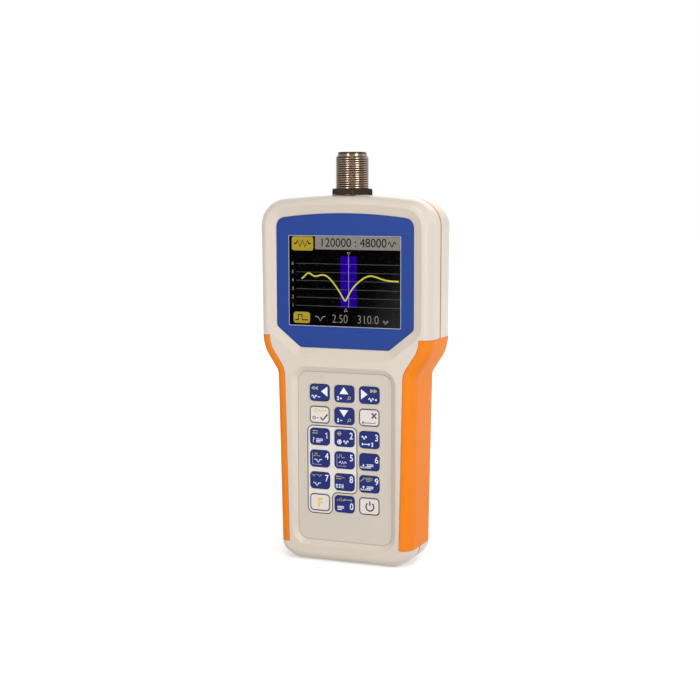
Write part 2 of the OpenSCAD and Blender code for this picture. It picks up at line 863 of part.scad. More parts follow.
// Data socket: a bent steel sleeve with a tongue inside, its mouth level with the case's bottom
module usb_socket() {
    sleeve = 0.4;
    mouth = 0.2;
    color([0.75, 0.76, 0.78])
    union() {
        difference() {
            box(-usb_w / 2, usb_w / 2, board_back_y, board_back_y + usb_h, mouth, mouth + usb_l);
            box(-usb_w / 2 + sleeve, usb_w / 2 - sleeve, board_back_y + sleeve,
                board_back_y + usb_h - sleeve, mouth - past, mouth + usb_l - sleeve);
        }
        box(-2.4, 2.4, usb_y - 0.4, usb_y + 0.4, mouth + 1.5, mouth + usb_l - sleeve / 2);
    }
}

// ---- Coaxial jack ----

jack_top = body_h + jack_h;
thread_root_d = thread_d - 0.5;
thread_bottom = body_h + nut_t;
flange_t = 2.4;
flange_r = 9.6;
washer_t = 0.6;
washer_top = body_h - top_drop(flange_r) - wall;
dielectric_d = 7;
dielectric_h = 6;
jack_tail = 4;
flange_top = washer_top - washer_t;
flange_bottom = flange_top - flange_t;

// How far the arched top has dropped at x, plus the facet's own drop
function top_drop(x) = top_arch_r - sqrt(top_arch_r * top_arch_r - x * x);

module jack_body() {
    color([0.45, 0.40, 0.36])
    difference() {
        translate([0, jack_y, 0]) {
            translate([0, 0, flange_top - overlap])
                cylinder(d = thread_root_d, h = jack_top - jack_lip_h - flange_top);
            translate([0, 0, thread_bottom])
                cylinder(d = thread_d, h = jack_top - jack_lip_h - thread_bottom);
            translate([0, 0, jack_top - jack_lip_h - overlap])
                cylinder(d = jack_lip_d, h = jack_lip_h + overlap);
            translate([0, 0, flange_bottom])
                cylinder(r = flange_r, h = flange_t);
            translate([0, 0, flange_bottom - jack_tail])
                cylinder(d = dielectric_d + 3, h = jack_tail + overlap);
        }
        translate([0, jack_y, jack_top - jack_bore_depth])
            cylinder(d = jack_bore_d, h = jack_bore_depth + past);
        translate([0, jack_y, flange_bottom - jack_tail - past])
            cylinder(d = dielectric_d, h = jack_top - flange_bottom);
    }
}

module jack_nut() {
    corner_turn = 22.7;
    chamfer = 1.1;
    r = nut_af / 2 / cos(30);
    color([0.30, 0.27, 0.25])
    translate([0, jack_y, body_h])
        difference() {
            intersection() {
                rotate([0, 0, corner_turn - 90]) cylinder(r = r, h = nut_t, $fn = 6);
                union() {
                    cylinder(r = r, h = nut_t - chamfer * 0.6);
                    translate([0, 0, nut_t - chamfer * 0.6])
                        cylinder(r1 = r, r2 = r - chamfer, h = chamfer * 0.6);
                }
            }
            translate([0, 0, -past]) cylinder(d = thread_root_d + 0.1, h = nut_t + 2 * past);
        }
}

module jack_washer() {
    color([0.6, 0.6, 0.6])
    translate([0, jack_y, flange_top])
        difference() {
            cylinder(r = flange_r, h = washer_t);
            translate([0, 0, -past]) cylinder(d = thread_root_d + 0.1, h = washer_t + 2 * past);
        }
}

board_notch_z = flange_bottom - jack_tail - 0.4;
contact_r = 1.52;
contact_tip = 4;
insulator_top = jack_top - jack_bore_depth;

module jack_insulator() {
    color([0.95, 0.95, 0.92])
    translate([0, jack_y, flange_bottom - jack_tail])
        difference() {
            cylinder(d = dielectric_d, h = insulator_top - flange_bottom + jack_tail);
            translate([0, 0, -past])
                cylinder(r = contact_r, h = insulator_top - flange_bottom + jack_tail + 2 * past);
        }
}

// Socket contact on the jack's axis, and the bent tail that meets the board
module centre_contact() {
    top = jack_top - contact_tip;
    tail_z = board_notch_z - 2.2;
    color([0.85, 0.68, 0.30])
    difference() {
        union() {
            translate([0, jack_y, tail_z]) cylinder(r = contact_r, h = top - tail_z);
            bar_y(0, tail_z + 0.8, 0.7, board_back_y, jack_y);
        }
        translate([0, jack_y, top - 5]) cylinder(r = 0.83, h = 5 + past);
        for (turn = [0, 90])
            translate([0, jack_y, top]) rotate([0, 0, turn]) cube([4, 0.2, 6], center = true);
    }
}

// ---- Batteries ----

cells = 3;
cell_back_y = back_inner_y - 0.35;
cell_y = cell_back_y - cell_d / 2;
cell_floor_y = cell_back_y - cell_d - 0.3;
bay_bottom = tray_bottom + tray_wall;
bay_top = bay_bottom + cell_l + spring_l + 1;
plate_t = 0.5;
tray_w = cells * cell_pitch + 2 * tray_wall;
function cell_x(k) = (k - 1) * cell_pitch;
// The middle cell stands the other way up
function cell_up(k) = k != 1;
function spring_end_z(k) = cell_up(k) ? bay_bottom + plate_t : bay_top - plate_t;

// Open tray with low ribs between the cells; its side flanges are bonded inside the rear shell
module battery_tray() {
    rib_h = 3;
    flange_w = 2.8;
    color([0.16, 0.16, 0.17])
    difference() {
        union() {
            box(-tray_w / 2, tray_w / 2, cell_floor_y - tray_wall, back_inner_y,
                tray_bottom, bay_top + tray_wall);
            box(-tray_w / 2 - flange_w, tray_w / 2 + flange_w, back_inner_y - 1.4, back_inner_y,
                tray_bottom + 2, bay_top + tray_wall - 2);
        }
        difference() {
            box(-tray_w / 2 + tray_wall, tray_w / 2 - tray_wall, cell_floor_y, back_inner_y + past,
                bay_bottom, bay_top);
            for (side = [-1, 1])
                box(side * cell_pitch / 2 - 0.5, side * cell_pitch / 2 + 0.5,
                    cell_floor_y - past, cell_floor_y + rib_h, bay_bottom - past, bay_top + past);
        }
    }
}

// One cell: can, shoulder and button
module battery_cell(k) {
    lift = cell_up(k) ? bay_top - plate_t - cell_l : bay_bottom + plate_t + cell_l;
    tint = [0.20, 0.22, 0.24];
    color(tint)
    translate([cell_x(k), cell_y, lift])
        rotate([cell_up(k) ? 0 : 180, 0, 0])
            rotate_extrude()
                polygon([
                    [0, 0], [cell_d / 2 - 0.6, 0], [cell_d / 2, 0.6],
                    [cell_d / 2, cell_l - 2.2], [cell_d / 2 - 0.8, cell_l - 1.4],
                    [2.7, cell_l - 1.4], [2.7, cell_l], [0, cell_l]
                ]);
}

// Tapered contact springs, drawn as their outer form
module battery_springs() {
    wide = 4.3;
    narrow = 2.8;
    free = bay_top - bay_bottom - 2 * plate_t - cell_l;
    color([0.8, 0.8, 0.82])
    for (k = [0:cells - 1])
        translate([cell_x(k), cell_y, spring_end_z(k)])
            rotate([cell_up(k) ? 0 : 180, 0, 0])
                difference() {
                    cylinder(r1 = wide, r2 = narrow, h = free - 0.05);
                    translate([0, 0, -past])
                        cylinder(r1 = wide - 0.8 + past * (wide - narrow) / free, r2 = narrow - 0.8,
                            h = free + past);
                }
}

contact_side_gap = 1.2; // space between a contact plate's end and the line between two cells
contact_front = 4.4;    // reach of the plates in front of the cells' middle
contact_back = 5;       // and behind it

// Contact plates: one across each pair of cells, one single at each end of the chain
module battery_contacts() {
    half = cell_pitch / 2 - contact_side_gap;
    y0 = cell_y - contact_front;
    y1 = cell_y + contact_back;
    low = bay_bottom;
    high = bay_top - plate_t;
    color([0.85, 0.85, 0.86]) {
        box(cell_x(0) - half, cell_x(0) + half, y0, y1, low, low + plate_t);
        box(cell_x(1) - half, cell_x(2) + half, y0, y1, low, low + plate_t);
        box(cell_x(0) - half, cell_x(1) + half, y0, y1, high, high + plate_t);
        box(cell_x(2) - half, cell_x(2) + half, y0, y1, high, high + plate_t);
    }
}

hook_x = 12;
hook_w = 8;
hook_t = 0.9;
hook_reach = 2.8;       // how far the hooks reach below the door
hook_gap = 0.3;         // space between the hooks and the rear shell's wall
hook_rise = 1;          // height of the hooks' root on the door
hook_root_gap = 0.2;
notch_w = 18;
notch_r = 6.4;
notch_out = 5.2;        // how far the axis of the finger notch lies behind the door
notch_down = 7;
grip_ribs = 4;
grip_rib_w = 24;
grip_rib_t = 0.8;
grip_rib_step = 2;
grip_rib_down = 15;

// Battery door: a plate with hooks at its foot, a finger notch and grip ribs at its head
module battery_door() {
    hook_y = back_inner_y - hook_gap - hook_t;
    color([0.84, 0.80, 0.74])
    difference() {
        union() {
            plate(back_inner_y, back_y) door_outline(0);
            for (side = [-1, 1]) {
                box(side * hook_x - hook_w / 2, side * hook_x + hook_w / 2,
                    hook_y, back_inner_y + overlap,
                    door_bottom + hook_root_gap, door_bottom + hook_rise);
                box(side * hook_x - hook_w / 2, side * hook_x + hook_w / 2,
                    hook_y, back_inner_y - hook_gap,
                    door_bottom - hook_reach, door_bottom + hook_rise);
            }
        }
        translate([0, back_y + notch_out, door_top - notch_down])
            rotate([0, 90, 0]) cylinder(r = notch_r, h = notch_w, center = true);
        for (k = [0:grip_ribs - 1])
            translate([0, back_y, door_top - grip_rib_down - grip_rib_step * k])
                cube([grip_rib_w, grip_rib_t, grip_rib_t], center = true);
    }
}

module case_screws_set() {
    color([0.25, 0.25, 0.27])
    for (p = case_screws)
        difference() {
            union() {
                bar_y(p[0], p[1], screw_head_r, case_screw_seat_y, case_screw_seat_y + screw_head_t);
                bar_y(p[0], p[1], case_screw_r,
                    case_screw_seat_y - case_screw_l, case_screw_seat_y + overlap);
            }
            for (turn = [0, 90])
                translate([p[0], case_screw_seat_y + screw_head_t, p[1]])
                    rotate([0, turn, 0])
                        cube([screw_cross_w, 2 * screw_cross_deep, screw_cross_t], center = true);
        }
}

blue_key = [0.14, 0.17, 0.48];
white_key = [0.93, 0.91, 0.88];
key_names = [
    ["key_left", "key_up", "key_right"],
    ["key_accept", "key_down", "key_cancel"],
    ["key_1", "key_2", "key_3"],
    ["key_4", "key_5", "key_6"],
    ["key_7", "key_8", "key_9"],
    ["key_function", "key_0", "key_power"]
];
function key_tint(name) =
    name == "key_accept" || name == "key_cancel" || name == "key_function" || name == "key_power"
    ? white_key : blue_key;

front_shell();
rear_shell();
case_seal();
left_grip();
right_grip();
display_bezel();
display_window();
display_gasket();
lcd_module();
display_ribbon();
keypad_panel();
key_domes();
for (row = [0:key_rows - 1])
    for (column = [0:key_columns - 1])
        key(row, column, key_tint(key_names[row][column]));
main_board();
board_parts();
rf_shield();
sounder();
usb_socket();
jack_body();
jack_nut();
jack_washer();
jack_insulator();
centre_contact();
battery_tray();
battery_cell(0);  // cell_left
battery_cell(1);  // cell_middle
battery_cell(2);  // cell_right
battery_springs();
battery_contacts();
battery_door();
case_screws_set();  // case_screws
board_screws_set();  // board_screws
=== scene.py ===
"""Looks of the handheld antenna analyzer: finishes, key legends, the lit picture, the jack's
thread and the battery springs, with the light and the camera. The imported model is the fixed
frame. Lengths are written in millimetres and turned into metres by MM."""
import json
import math

import bmesh
import bpy
from mathutils import Matrix, Vector


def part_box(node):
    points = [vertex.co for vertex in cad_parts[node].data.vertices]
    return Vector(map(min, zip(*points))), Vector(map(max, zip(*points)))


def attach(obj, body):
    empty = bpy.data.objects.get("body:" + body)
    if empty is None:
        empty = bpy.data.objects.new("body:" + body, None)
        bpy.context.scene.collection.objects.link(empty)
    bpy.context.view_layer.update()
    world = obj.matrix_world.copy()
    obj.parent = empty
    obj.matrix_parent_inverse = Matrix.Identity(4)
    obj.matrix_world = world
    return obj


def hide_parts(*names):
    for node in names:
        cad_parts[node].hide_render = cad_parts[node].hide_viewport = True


MM = 0.001
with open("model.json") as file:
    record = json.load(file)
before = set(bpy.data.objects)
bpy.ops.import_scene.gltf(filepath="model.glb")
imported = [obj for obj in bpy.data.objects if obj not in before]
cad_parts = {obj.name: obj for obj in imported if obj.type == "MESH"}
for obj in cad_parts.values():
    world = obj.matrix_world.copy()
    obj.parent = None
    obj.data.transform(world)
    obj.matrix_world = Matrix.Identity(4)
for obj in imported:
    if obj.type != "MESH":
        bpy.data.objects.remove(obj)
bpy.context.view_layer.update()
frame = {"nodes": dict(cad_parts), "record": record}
nodes = frame["nodes"]


# ---- Places taken from the frame, in millimetres ----

def low(node):
    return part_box(node)[0] / MM


def high(node):
    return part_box(node)[1] / MM


def middle(node):
    return (low(node) + high(node)) / 2


KEY_ROWS = [
    ["key_left", "key_up", "key_right"],
    ["key_accept", "key_down", "key_cancel"],
    ["key_1", "key_2", "key_3"],
    ["key_4", "key_5", "key_6"],
    ["key_7", "key_8", "key_9"],
    ["key_function", "key_0", "key_power"],
]
COLUMN_X = [middle(name).x for name in KEY_ROWS[0]]
ROW_Z = [middle(row[0]).z for row in KEY_ROWS]
KEY_W, KEY_H, KEY_R = 10.34, 8.25, 1.85     # a key's face and its corners, without its flange
KEY_FACE_Y = low("key_5").y
PANEL_FACE_Y = low("display_bezel").y
SCREEN = middle("display_window")
SCREEN_W = high("display_window").x - low("display_window").x
SCREEN_H = high("display_window").z - low("display_window").z
SLOT_OF = {part["node"]: part["material_slot"] for part in frame["record"]["subparts"]}

# The jack's turned piece, round its own axis
JACK_TOP = high("jack_body").z
JACK_BOTTOM = low("jack_body").z
JACK_Y = middle("jack_body").y
FLANGE_R = (high("jack_body").x - low("jack_body").x) / 2
THREAD_R = 7.94         # 5/8-24 thread: radius over its crests, depth and pitch
THREAD_DEPTH = 0.45
THREAD_PITCH = 1.058
LIP_R = 6.9             # the plain lip above the thread
LIP_H = 2.0
BORE_R = 4.2            # the mouth that takes a plug's collar
BORE_DEPTH = 9.2
NECK_R = 7.6            # between the flange and the thread
TAIL_R = 5.0
TAIL_H = 4.0
INSULATOR_R = 3.5


# ---- Colours ----

def linear(r, g, b):
    """An 8-bit screen colour as linear values."""
    return tuple(
        c / 12.92 if c <= 0.04045 else ((c + 0.055) / 1.055) ** 2.4
        for c in (r / 255, g / 255, b / 255)
    )


def scaled(colour, factor):
    return tuple(min(1, c * factor) for c in colour)


HOUSING = linear(215, 203, 189)
SEAM_TINT = linear(206, 138, 98)
GRIP_ORANGE = linear(240, 130, 16)
BEZEL_BLUE = linear(36, 66, 142)
PANEL = linear(208, 199, 186)
PALE_PANEL = linear(228, 221, 214)
KEY_BLUE = linear(24, 36, 108)
KEY_WHITE = linear(228, 219, 214)
DARK_NICKEL = linear(122, 105, 92)
NUT_NICKEL = linear(54, 45, 38)
CELL_WRAP = linear(38, 48, 60)
COPPER = linear(196, 120, 70)
STEEL = (0.6, 0.6, 0.62)
BLACK_PLASTIC = (0.02, 0.02, 0.022)
WHITE = (1, 1, 1)


# ---- Shader nodes in short. A value is a number, a colour, a vector or a node's output ----

def new_material(name, **sockets):
    """A material with plain values on its shader's own sockets; _ stands for a space."""
    material = bpy.data.materials.new(name)
    material.use_nodes = True
    tree = material.node_tree
    shader = tree.nodes["Principled BSDF"]
    for socket, value in sockets.items():
        shader.inputs[socket.replace("_", " ")].default_value = value
    return material, tree, shader


def feed(tree, socket, value):
    """Links a node's output to a socket, or sets the socket to a plain value."""
    if isinstance(value, bpy.types.NodeSocket):
        tree.links.new(value, socket)
    else:
        socket.default_value = value


def compute(tree, operation, *values):
    node = tree.nodes.new("ShaderNodeMath")
    node.operation = operation
    for socket, value in zip(node.inputs, values):
        feed(tree, socket, value)
    return node.outputs["Value"]


def compute_vector(tree, operation, *values, output="Vector"):
    node = tree.nodes.new("ShaderNodeVectorMath")
    node.operation = operation
    for socket, value in zip(node.inputs, values):
        feed(tree, socket, value)
    return node.outputs[output]


def place(tree, space="Object"):
    """Places in the object's own space, in metres, or in another space."""
    return tree.nodes.new("ShaderNodeTexCoord").outputs[space]


def axis(tree, vector, letter):
    split = tree.nodes.new("ShaderNodeSeparateXYZ")
    tree.links.new(vector, split.inputs["Vector"])
    return split.outputs[letter]


def span(tree, value, start, end, to_start, to_end, easing="LINEAR"):
    """Carries start..end over to to_start..to_end, and holds the value beyond both ends."""
    node = tree.nodes.new("ShaderNodeMapRange")
    node.interpolation_type = easing
    feed(tree, node.inputs["Value"], value)
    feed(tree, node.inputs["From Min"], start)
    feed(tree, node.inputs["From Max"], end)
    feed(tree, node.inputs["To Min"], to_start)
    feed(tree, node.inputs["To Max"], to_end)
    return node.outputs["Result"]


def mixed(tree, factor, first, second, blend="MIX"):
    node = tree.nodes.new("ShaderNodeMix")
    node.data_type = "RGBA"
    node.blend_type = blend
    feed(tree, node.inputs["Factor"], factor)
    feed(tree, node.inputs["A"], first)
    feed(tree, node.inputs["B"], second)
    return node.outputs["Result"]


def banded(tree, value, stops):
    """Plain bands of colour along a value from 0 to 1; a stop is (start, colour)."""
    node = tree.nodes.new("ShaderNodeValToRGB")
    node.color_ramp.interpolation = "CONSTANT"
    elements = node.color_ramp.elements
    for k, (start, colour) in enumerate(stops):
        stop = elements[k] if k < len(elements) else elements.new(start)
        stop.position = start
        stop.color = (*colour, 1)
    feed(tree, node.inputs["Fac"], value)
    return node.outputs["Color"]


def noise(tree, size_mm, detail=2.0, stretch=(1, 1, 1)):
    """Noise in the object's own space, with features of about size_mm."""
    mapping = tree.nodes.new("ShaderNodeMapping")
    mapping.inputs["Scale"].default_value = stretch
    texture = tree.nodes.new("ShaderNodeTexNoise")
    texture.inputs["Scale"].default_value = 1 / (size_mm * MM)
    texture.inputs["Detail"].default_value = detail
    feed(tree, mapping.inputs["Vector"], place(tree))
    feed(tree, texture.inputs["Vector"], mapping.outputs["Vector"])
    return texture.outputs["Fac"]


def uneven(tree, patches, least, most):
    """Noise, most of which lies between 0.25 and 0.75, spread over least..most."""
    return span(tree, patches, 0.25, 0.75, least, most)


# ---- Finishes ----

def surface(name, colour, roughness, metallic=0.0, specular=0.5, mottle=0.03, mottle_mm=9,
            grain=0.0, grain_mm=0.35, edge_mm=0.0, **sockets):
    """A finish with slight colour variation, uneven gloss, a fine grain and softened edges."""
    gloss_spread = 0.05
    grain_height = 0.05
    material, tree, shader = new_material(name, Metallic=metallic, Specular_IOR_Level=specular,
                                          **sockets)
    darker = (*scaled(colour, 1 - mottle), 1)
    lighter = (*scaled(colour, 1 + mottle), 1)
    feed(tree, shader.inputs["Base Color"],
         mixed(tree, noise(tree, mottle_mm, 3), darker, lighter))
    feed(tree, shader.inputs["Roughness"],
         uneven(tree, noise(tree, mottle_mm / 3, 3), roughness - gloss_spread,
                roughness + gloss_spread))
    normal = None
    if edge_mm:
        bevel = tree.nodes.new("ShaderNodeBevel")
        bevel.samples = 6
        bevel.inputs["Radius"].default_value = edge_mm * MM
        normal = bevel.outputs["Normal"]
    if grain:
        bump = tree.nodes.new("ShaderNodeBump")
        bump.inputs["Strength"].default_value = grain
        bump.inputs["Distance"].default_value = grain_height * MM
        feed(tree, bump.inputs["Height"], noise(tree, grain_mm, 2))
        if normal:
            feed(tree, bump.inputs["Normal"], normal)
        normal = bump.outputs["Normal"]
    if normal:
        feed(tree, shader.inputs["Normal"], normal)
    return material


def parts_of(material):
    """The node tree of a finish, its shader and the output that colours it."""
    shader = material.node_tree.nodes["Principled BSDF"]
    return material.node_tree, shader, shader.inputs["Base Color"].links[0].from_socket


def housing_material():
    """Moulded case plastic, tinted orange-brown along the parting line on both sides of the seal.
    """
    tint_half_width, tint_end, tint_strength = 0.65, 1.3, 0.8
    material = surface("housing", HOUSING, 0.34, mottle=0.015, grain=0.35, edge_mm=0.5)
    tree, shader, plain = parts_of(material)
    # Orange-brown tint either side of the seal, fading out by 1.3 mm from its middle
    from_seal = compute(tree, "SUBTRACT", axis(tree, place(tree), "Y"), middle("case_seal").y * MM)
    seam_tint = span(tree, compute(tree, "ABSOLUTE", from_seal), tint_half_width * MM,
                 tint_end * MM, tint_strength, 0)
    feed(tree, shader.inputs["Base Color"], mixed(tree, seam_tint, plain, (*SEAM_TINT, 1)))
    return material


def jack_material():
    """Nickelled thread, with painted shade and some oxide in the valleys between its crests, and a
    painted dark reflection on the upper edge of its lip.
    """
    valley_r, crest_r = THREAD_R - THREAD_DEPTH, THREAD_R - 0.1
    thread_least_r = valley_r - 0.1
    valley_shade, rim_shade = 0.25, 0.2
    rim_start, rim_end = JACK_TOP - 1.2, JACK_TOP - 0.8
    material = surface("jack_nickel", DARK_NICKEL, 0.2, metallic=1, mottle=0.12, mottle_mm=1.5,
                       edge_mm=0.08)
    tree, shader, plain = parts_of(material)
    here = place(tree)
    from_axis = compute_vector(tree, "MULTIPLY_ADD", here, (1 / MM, 1 / MM, 0), (0, -JACK_Y, 0))
    radius = compute_vector(tree, "LENGTH", from_axis, output="Value")
    # Painted shade in the thread's valleys, together with some oxide: darker towards the roots
    valley_shade_and_oxide = span(tree, radius, valley_r, crest_r, valley_shade, 1)
    not_thread = compute(tree, "LESS_THAN", radius, thread_least_r)
    # Painted dark reflection: the lip's upper edge and top darken to a fifth of the colour
    painted_dark_reflection = span(tree, axis(tree, here, "Z"), rim_start * MM, rim_end * MM, 1, rim_shade)
    shade = compute(tree, "MULTIPLY", compute(tree, "MAXIMUM", valley_shade_and_oxide, not_thread), painted_dark_reflection)
    feed(tree, shader.inputs["Base Color"], mixed(tree, 1, plain, shade, "MULTIPLY"))
    return material


def window_material():
    """Clear lens: nearly see-through, with a faint sheen and the traces of wiping."""
    material, tree, shader = new_material(
        "window_clear", Base_Color=(0.02, 0.02, 0.025, 1), Specular_IOR_Level=0.2, Alpha=0.03)
    wiped = noise(tree, size_mm=6, detail=3, stretch=(1, 1, 2.5))
    feed(tree, shader.inputs["Roughness"], uneven(tree, wiped, least=0.03, most=0.12))
    return material


def display_material():
    """The display's black glass, with a faint painted reflection: a glow that rises towards one
    corner.
    """
    fall, reflection_start, reflection_end, reflection_strength = 0.7, 10, 50, 0.02
    material, tree, shader = new_material(
        "display_black", Base_Color=(0.001, 0.001, 0.001, 1), Roughness=0.3,
        Specular_IOR_Level=0.0, Emission_Color=(*WHITE, 1))
    slope = compute_vector(tree, "DOT_PRODUCT", place(tree), (1 / MM, 0, -fall / MM),
                           output="Value")
    # Painted reflection: emission that rises smoothly towards the lower right of the glass
    glow = span(tree, slope, reflection_start - fall * SCREEN.z, reflection_end - fall * SCREEN.z, 0,
                reflection_strength, "SMOOTHERSTEP")
    feed(tree, shader.inputs["Emission Strength"], glow)
    return material


def lit(name, colour, strength):
    """A lit part of the display picture, which glows a little unevenly."""
    unlit_share, dimmest, brightest = 0.05, 0.88, 1.08
    material, tree, shader = new_material(
        name, Base_Color=(*scaled(colour, unlit_share), 1), Roughness=0.6,
        Specular_IOR_Level=0.0, Emission_Color=(*colour, 1))
    patches = noise(tree, size_mm=1.2)
    glow = uneven(tree, patches, strength * dimmest, strength * brightest)
    feed(tree, shader.inputs["Emission Strength"], glow)
    return material


def cell_material(cell):
    """A plain cell: steel at both ends, a copper band by its button, dark wrap between."""
    button_h, copper_h, base_h = 2.0, 13, 0.9
    bottom, top = low(cell).z, high(cell).z
    length = top - bottom
    upright = high("battery_tray").z - top < bottom - low("battery_tray").z
    plus_z, way = (top, 1) if upright else (bottom, -1)
    material = surface(f"{cell}_wrap", CELL_WRAP, 0.28, mottle=0.05, mottle_mm=4, grain=0.05)
    tree, shader, _ = parts_of(material)
    # From 0 at the button's end to 1 at the base
    depth = compute(tree, "MULTIPLY_ADD", axis(tree, place(tree), "Z"), -way / (length * MM),
                    way * plus_z / length)
    # Each band's start below the button's end, its colour and how metallic it is
    bands = [(0, STEEL, 1), (button_h, COPPER, 0.75), (button_h + copper_h, CELL_WRAP, 0),
             (length - base_h, STEEL, 1)]
    colours = banded(tree, depth, [(start / length, colour) for start, colour, _ in bands])
    metals = banded(tree, depth, [(start / length, (metal,) * 3) for start, _, metal in bands])
    shade = uneven(tree, noise(tree, size_mm=3), least=0.9, most=1.0)
    feed(tree, shader.inputs["Base Color"], mixed(tree, 1, colours, shade, "MULTIPLY"))
    feed(tree, shader.inputs["Metallic"], metals)
    return material


# The plain finishes by material slot
LOOKS = {
    "seal_rubber": dict(colour=linear(158, 78, 34), roughness=0.7, specular=0.2, grain=0.3),
    "grip_rubber": dict(colour=GRIP_ORANGE, roughness=0.55, specular=0.2, mottle=0.02, grain=0.5,
                        edge_mm=0.4),
    "bezel_print": dict(colour=BEZEL_BLUE, roughness=0.4, specular=0.12, grain=0.15,
                        grain_mm=0.2),
    "gasket_foam": dict(colour=(0.01, 0.01, 0.01), roughness=0.9, grain=0.8),
    "ribbon_film": dict(colour=linear(190, 120, 40), roughness=0.35),
    "keypad_print": dict(colour=PANEL, roughness=0.5, specular=0.3, mottle=0.015, grain=0.25,
                         grain_mm=0.2),
    "key_blue": dict(colour=KEY_BLUE, roughness=0.42, specular=0.2, mottle=0.06, mottle_mm=3,
                     grain=0.2, edge_mm=0.2),
    "key_white": dict(colour=KEY_WHITE, roughness=0.42, specular=0.2, mottle=0.015, grain=0.2,
                      edge_mm=0.2),
    "dome_steel": dict(colour=STEEL, roughness=0.3, metallic=1),
    "board_green": dict(colour=linear(14, 92, 48), roughness=0.35, mottle=0.12, mottle_mm=2),
    "chip_black": dict(colour=BLACK_PLASTIC, roughness=0.6, grain=0.4),
    "shield_tin": dict(colour=(0.62, 0.63, 0.65), roughness=0.35, metallic=1, mottle=0.08),
    "sounder_black": dict(colour=(0.015, 0.015, 0.015), roughness=0.45, grain=0.3),
    "socket_steel": dict(colour=(0.6, 0.61, 0.63), roughness=0.25, metallic=1),
    "nut_nickel": dict(colour=NUT_NICKEL, roughness=0.22, metallic=1, mottle=0.4, mottle_mm=5,
                       edge_mm=0.3),
    "washer_steel": dict(colour=(0.4, 0.4, 0.41), roughness=0.35, metallic=1),
    "insulator_white": dict(colour=(0.85, 0.85, 0.82), roughness=0.5, Subsurface_Weight=0.1),
    "contact_brass": dict(colour=(0.8, 0.58, 0.24), roughness=0.22, metallic=1),
    "tray_black": dict(colour=BLACK_PLASTIC, roughness=0.5, grain=0.5, edge_mm=0.3),
    "spring_steel": dict(colour=(0.62, 0.62, 0.64), roughness=0.28, metallic=1),
    "screw_black": dict(colour=(0.03, 0.03, 0.032), roughness=0.4, metallic=0.6, grain=0.3,
                        edge_mm=0.15),
    "screw_bright": dict(colour=(0.55, 0.55, 0.57), roughness=0.3, metallic=1),
}
FINISHES = {slot: surface(slot, **look) for slot, look in LOOKS.items()}
FINISHES["housing"] = housing_material()
FINISHES["jack_nickel"] = jack_material()
FINISHES["window_clear"] = window_material()
FINISHES["display_black"] = display_material()

INK_LOOKS = {
    "white": dict(colour=linear(238, 242, 250), roughness=0.5, mottle=0.02, mottle_mm=1),
    "thin": dict(colour=linear(170, 176, 205), roughness=0.5, mottle=0.03, mottle_mm=1),
    "dark": dict(colour=linear(48, 44, 60), roughness=0.5, mottle=0.05, mottle_mm=1),
    "olive": dict(colour=linear(168, 166, 108), roughness=0.5, mottle=0.05, mottle_mm=1),
    "yellow": dict(colour=linear(220, 198, 100), roughness=0.5, mottle=0.04, mottle_mm=1),
    "pale": dict(colour=PALE_PANEL, roughness=0.5, mottle=0.02, mottle_mm=6, grain=0.25,
                 grain_mm=0.2),
    "edge": dict(colour=linear(176, 172, 190), roughness=0.4, mottle=0.04, mottle_mm=2),
}
INKS = {ink: surface(f"ink_{ink}", **look) for ink, look in INK_LOOKS.items()}


def finish_frame():
    """Gives each piece of the frame the finish of its slot; each cell has its own."""
    for name, slot in SLOT_OF.items():
        materials = nodes[name].data.materials
        materials.clear()
        materials.append(cell_material(name) if slot == "cell_wrap" else FINISHES[slot])


# ---- Flat shapes, drawn facing the front in millimetres from their own middle ----

INK = 0.03              # thickness of printed ink
FONT_SCALE = 1.39       # font size for figures of height 1


def add_piece(name, mesh, material, body):
    piece = bpy.data.objects.new(name, mesh)
    bpy.context.scene.collection.objects.link(piece)
    mesh.materials.clear()
    mesh.materials.append(material)
    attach(piece, body)
    return piece


def baked_mesh(data):
    """The mesh of a curve or text, with the helper object removed."""
    helper = bpy.data.objects.new("helper", data)
    bpy.context.scene.collection.objects.link(helper)
    bpy.context.view_layer.update()
    evaluated = helper.evaluated_get(bpy.context.evaluated_depsgraph_get())
    mesh = bpy.data.meshes.new_from_object(evaluated)
    bpy.data.objects.remove(helper)
    return mesh


def add_line(curve, points, closed=False):
    """One line of straight pieces in a curve; its points are (x, y) or (x, y, z)."""
    spline = curve.splines.new("POLY")
    spline.points.add(len(points) - 1)
    for point, (x, y, *depth) in zip(spline.points, points):
        point.co = (x, y, *(depth or [0]), 1)
    spline.use_cyclic_u = closed


def round_wire(name, radius):
    """A curve whose lines are round wires with closed ends."""
    curve = bpy.data.curves.new(name, "CURVE")
    curve.dimensions = "3D"
    curve.bevel_depth = radius
    curve.bevel_resolution = 2
    curve.use_fill_caps = True
    return curve


def filled(loops):
    """Flat ink inside closed loops; a loop inside another is a hole."""
    curve = bpy.data.curves.new("fill", "CURVE")
    curve.dimensions = "2D"
    curve.fill_mode = "BOTH"
    curve.extrude = INK / 2
    for loop in loops:
        add_line(curve, loop, True)
    return baked_mesh(curve)


def stroked(lines, width, closed=False):
    """Ink lines of one width, with a low round back."""
    curve = round_wire("stroke", width / 2)
    for line in lines:
        add_line(curve, line, closed)
    mesh = baked_mesh(curve)
    mesh.transform(Matrix.Diagonal((1, 1, INK / width, 1)))
    return mesh


def written(characters, height, bold, narrow):
    """Plain figures, centred; bold is a share of their height, narrow one of their width."""
    text = bpy.data.curves.new("figures", "FONT")
    text.body = characters
    text.size = height * FONT_SCALE
    text.align_x = "CENTER"
    text.align_y = "CENTER"
    text.offset = bold * height
    text.extrude = INK / 2
    mesh = baked_mesh(text)
    mesh.transform(Matrix.Diagonal((narrow, 1, 1, 1)))
    return mesh


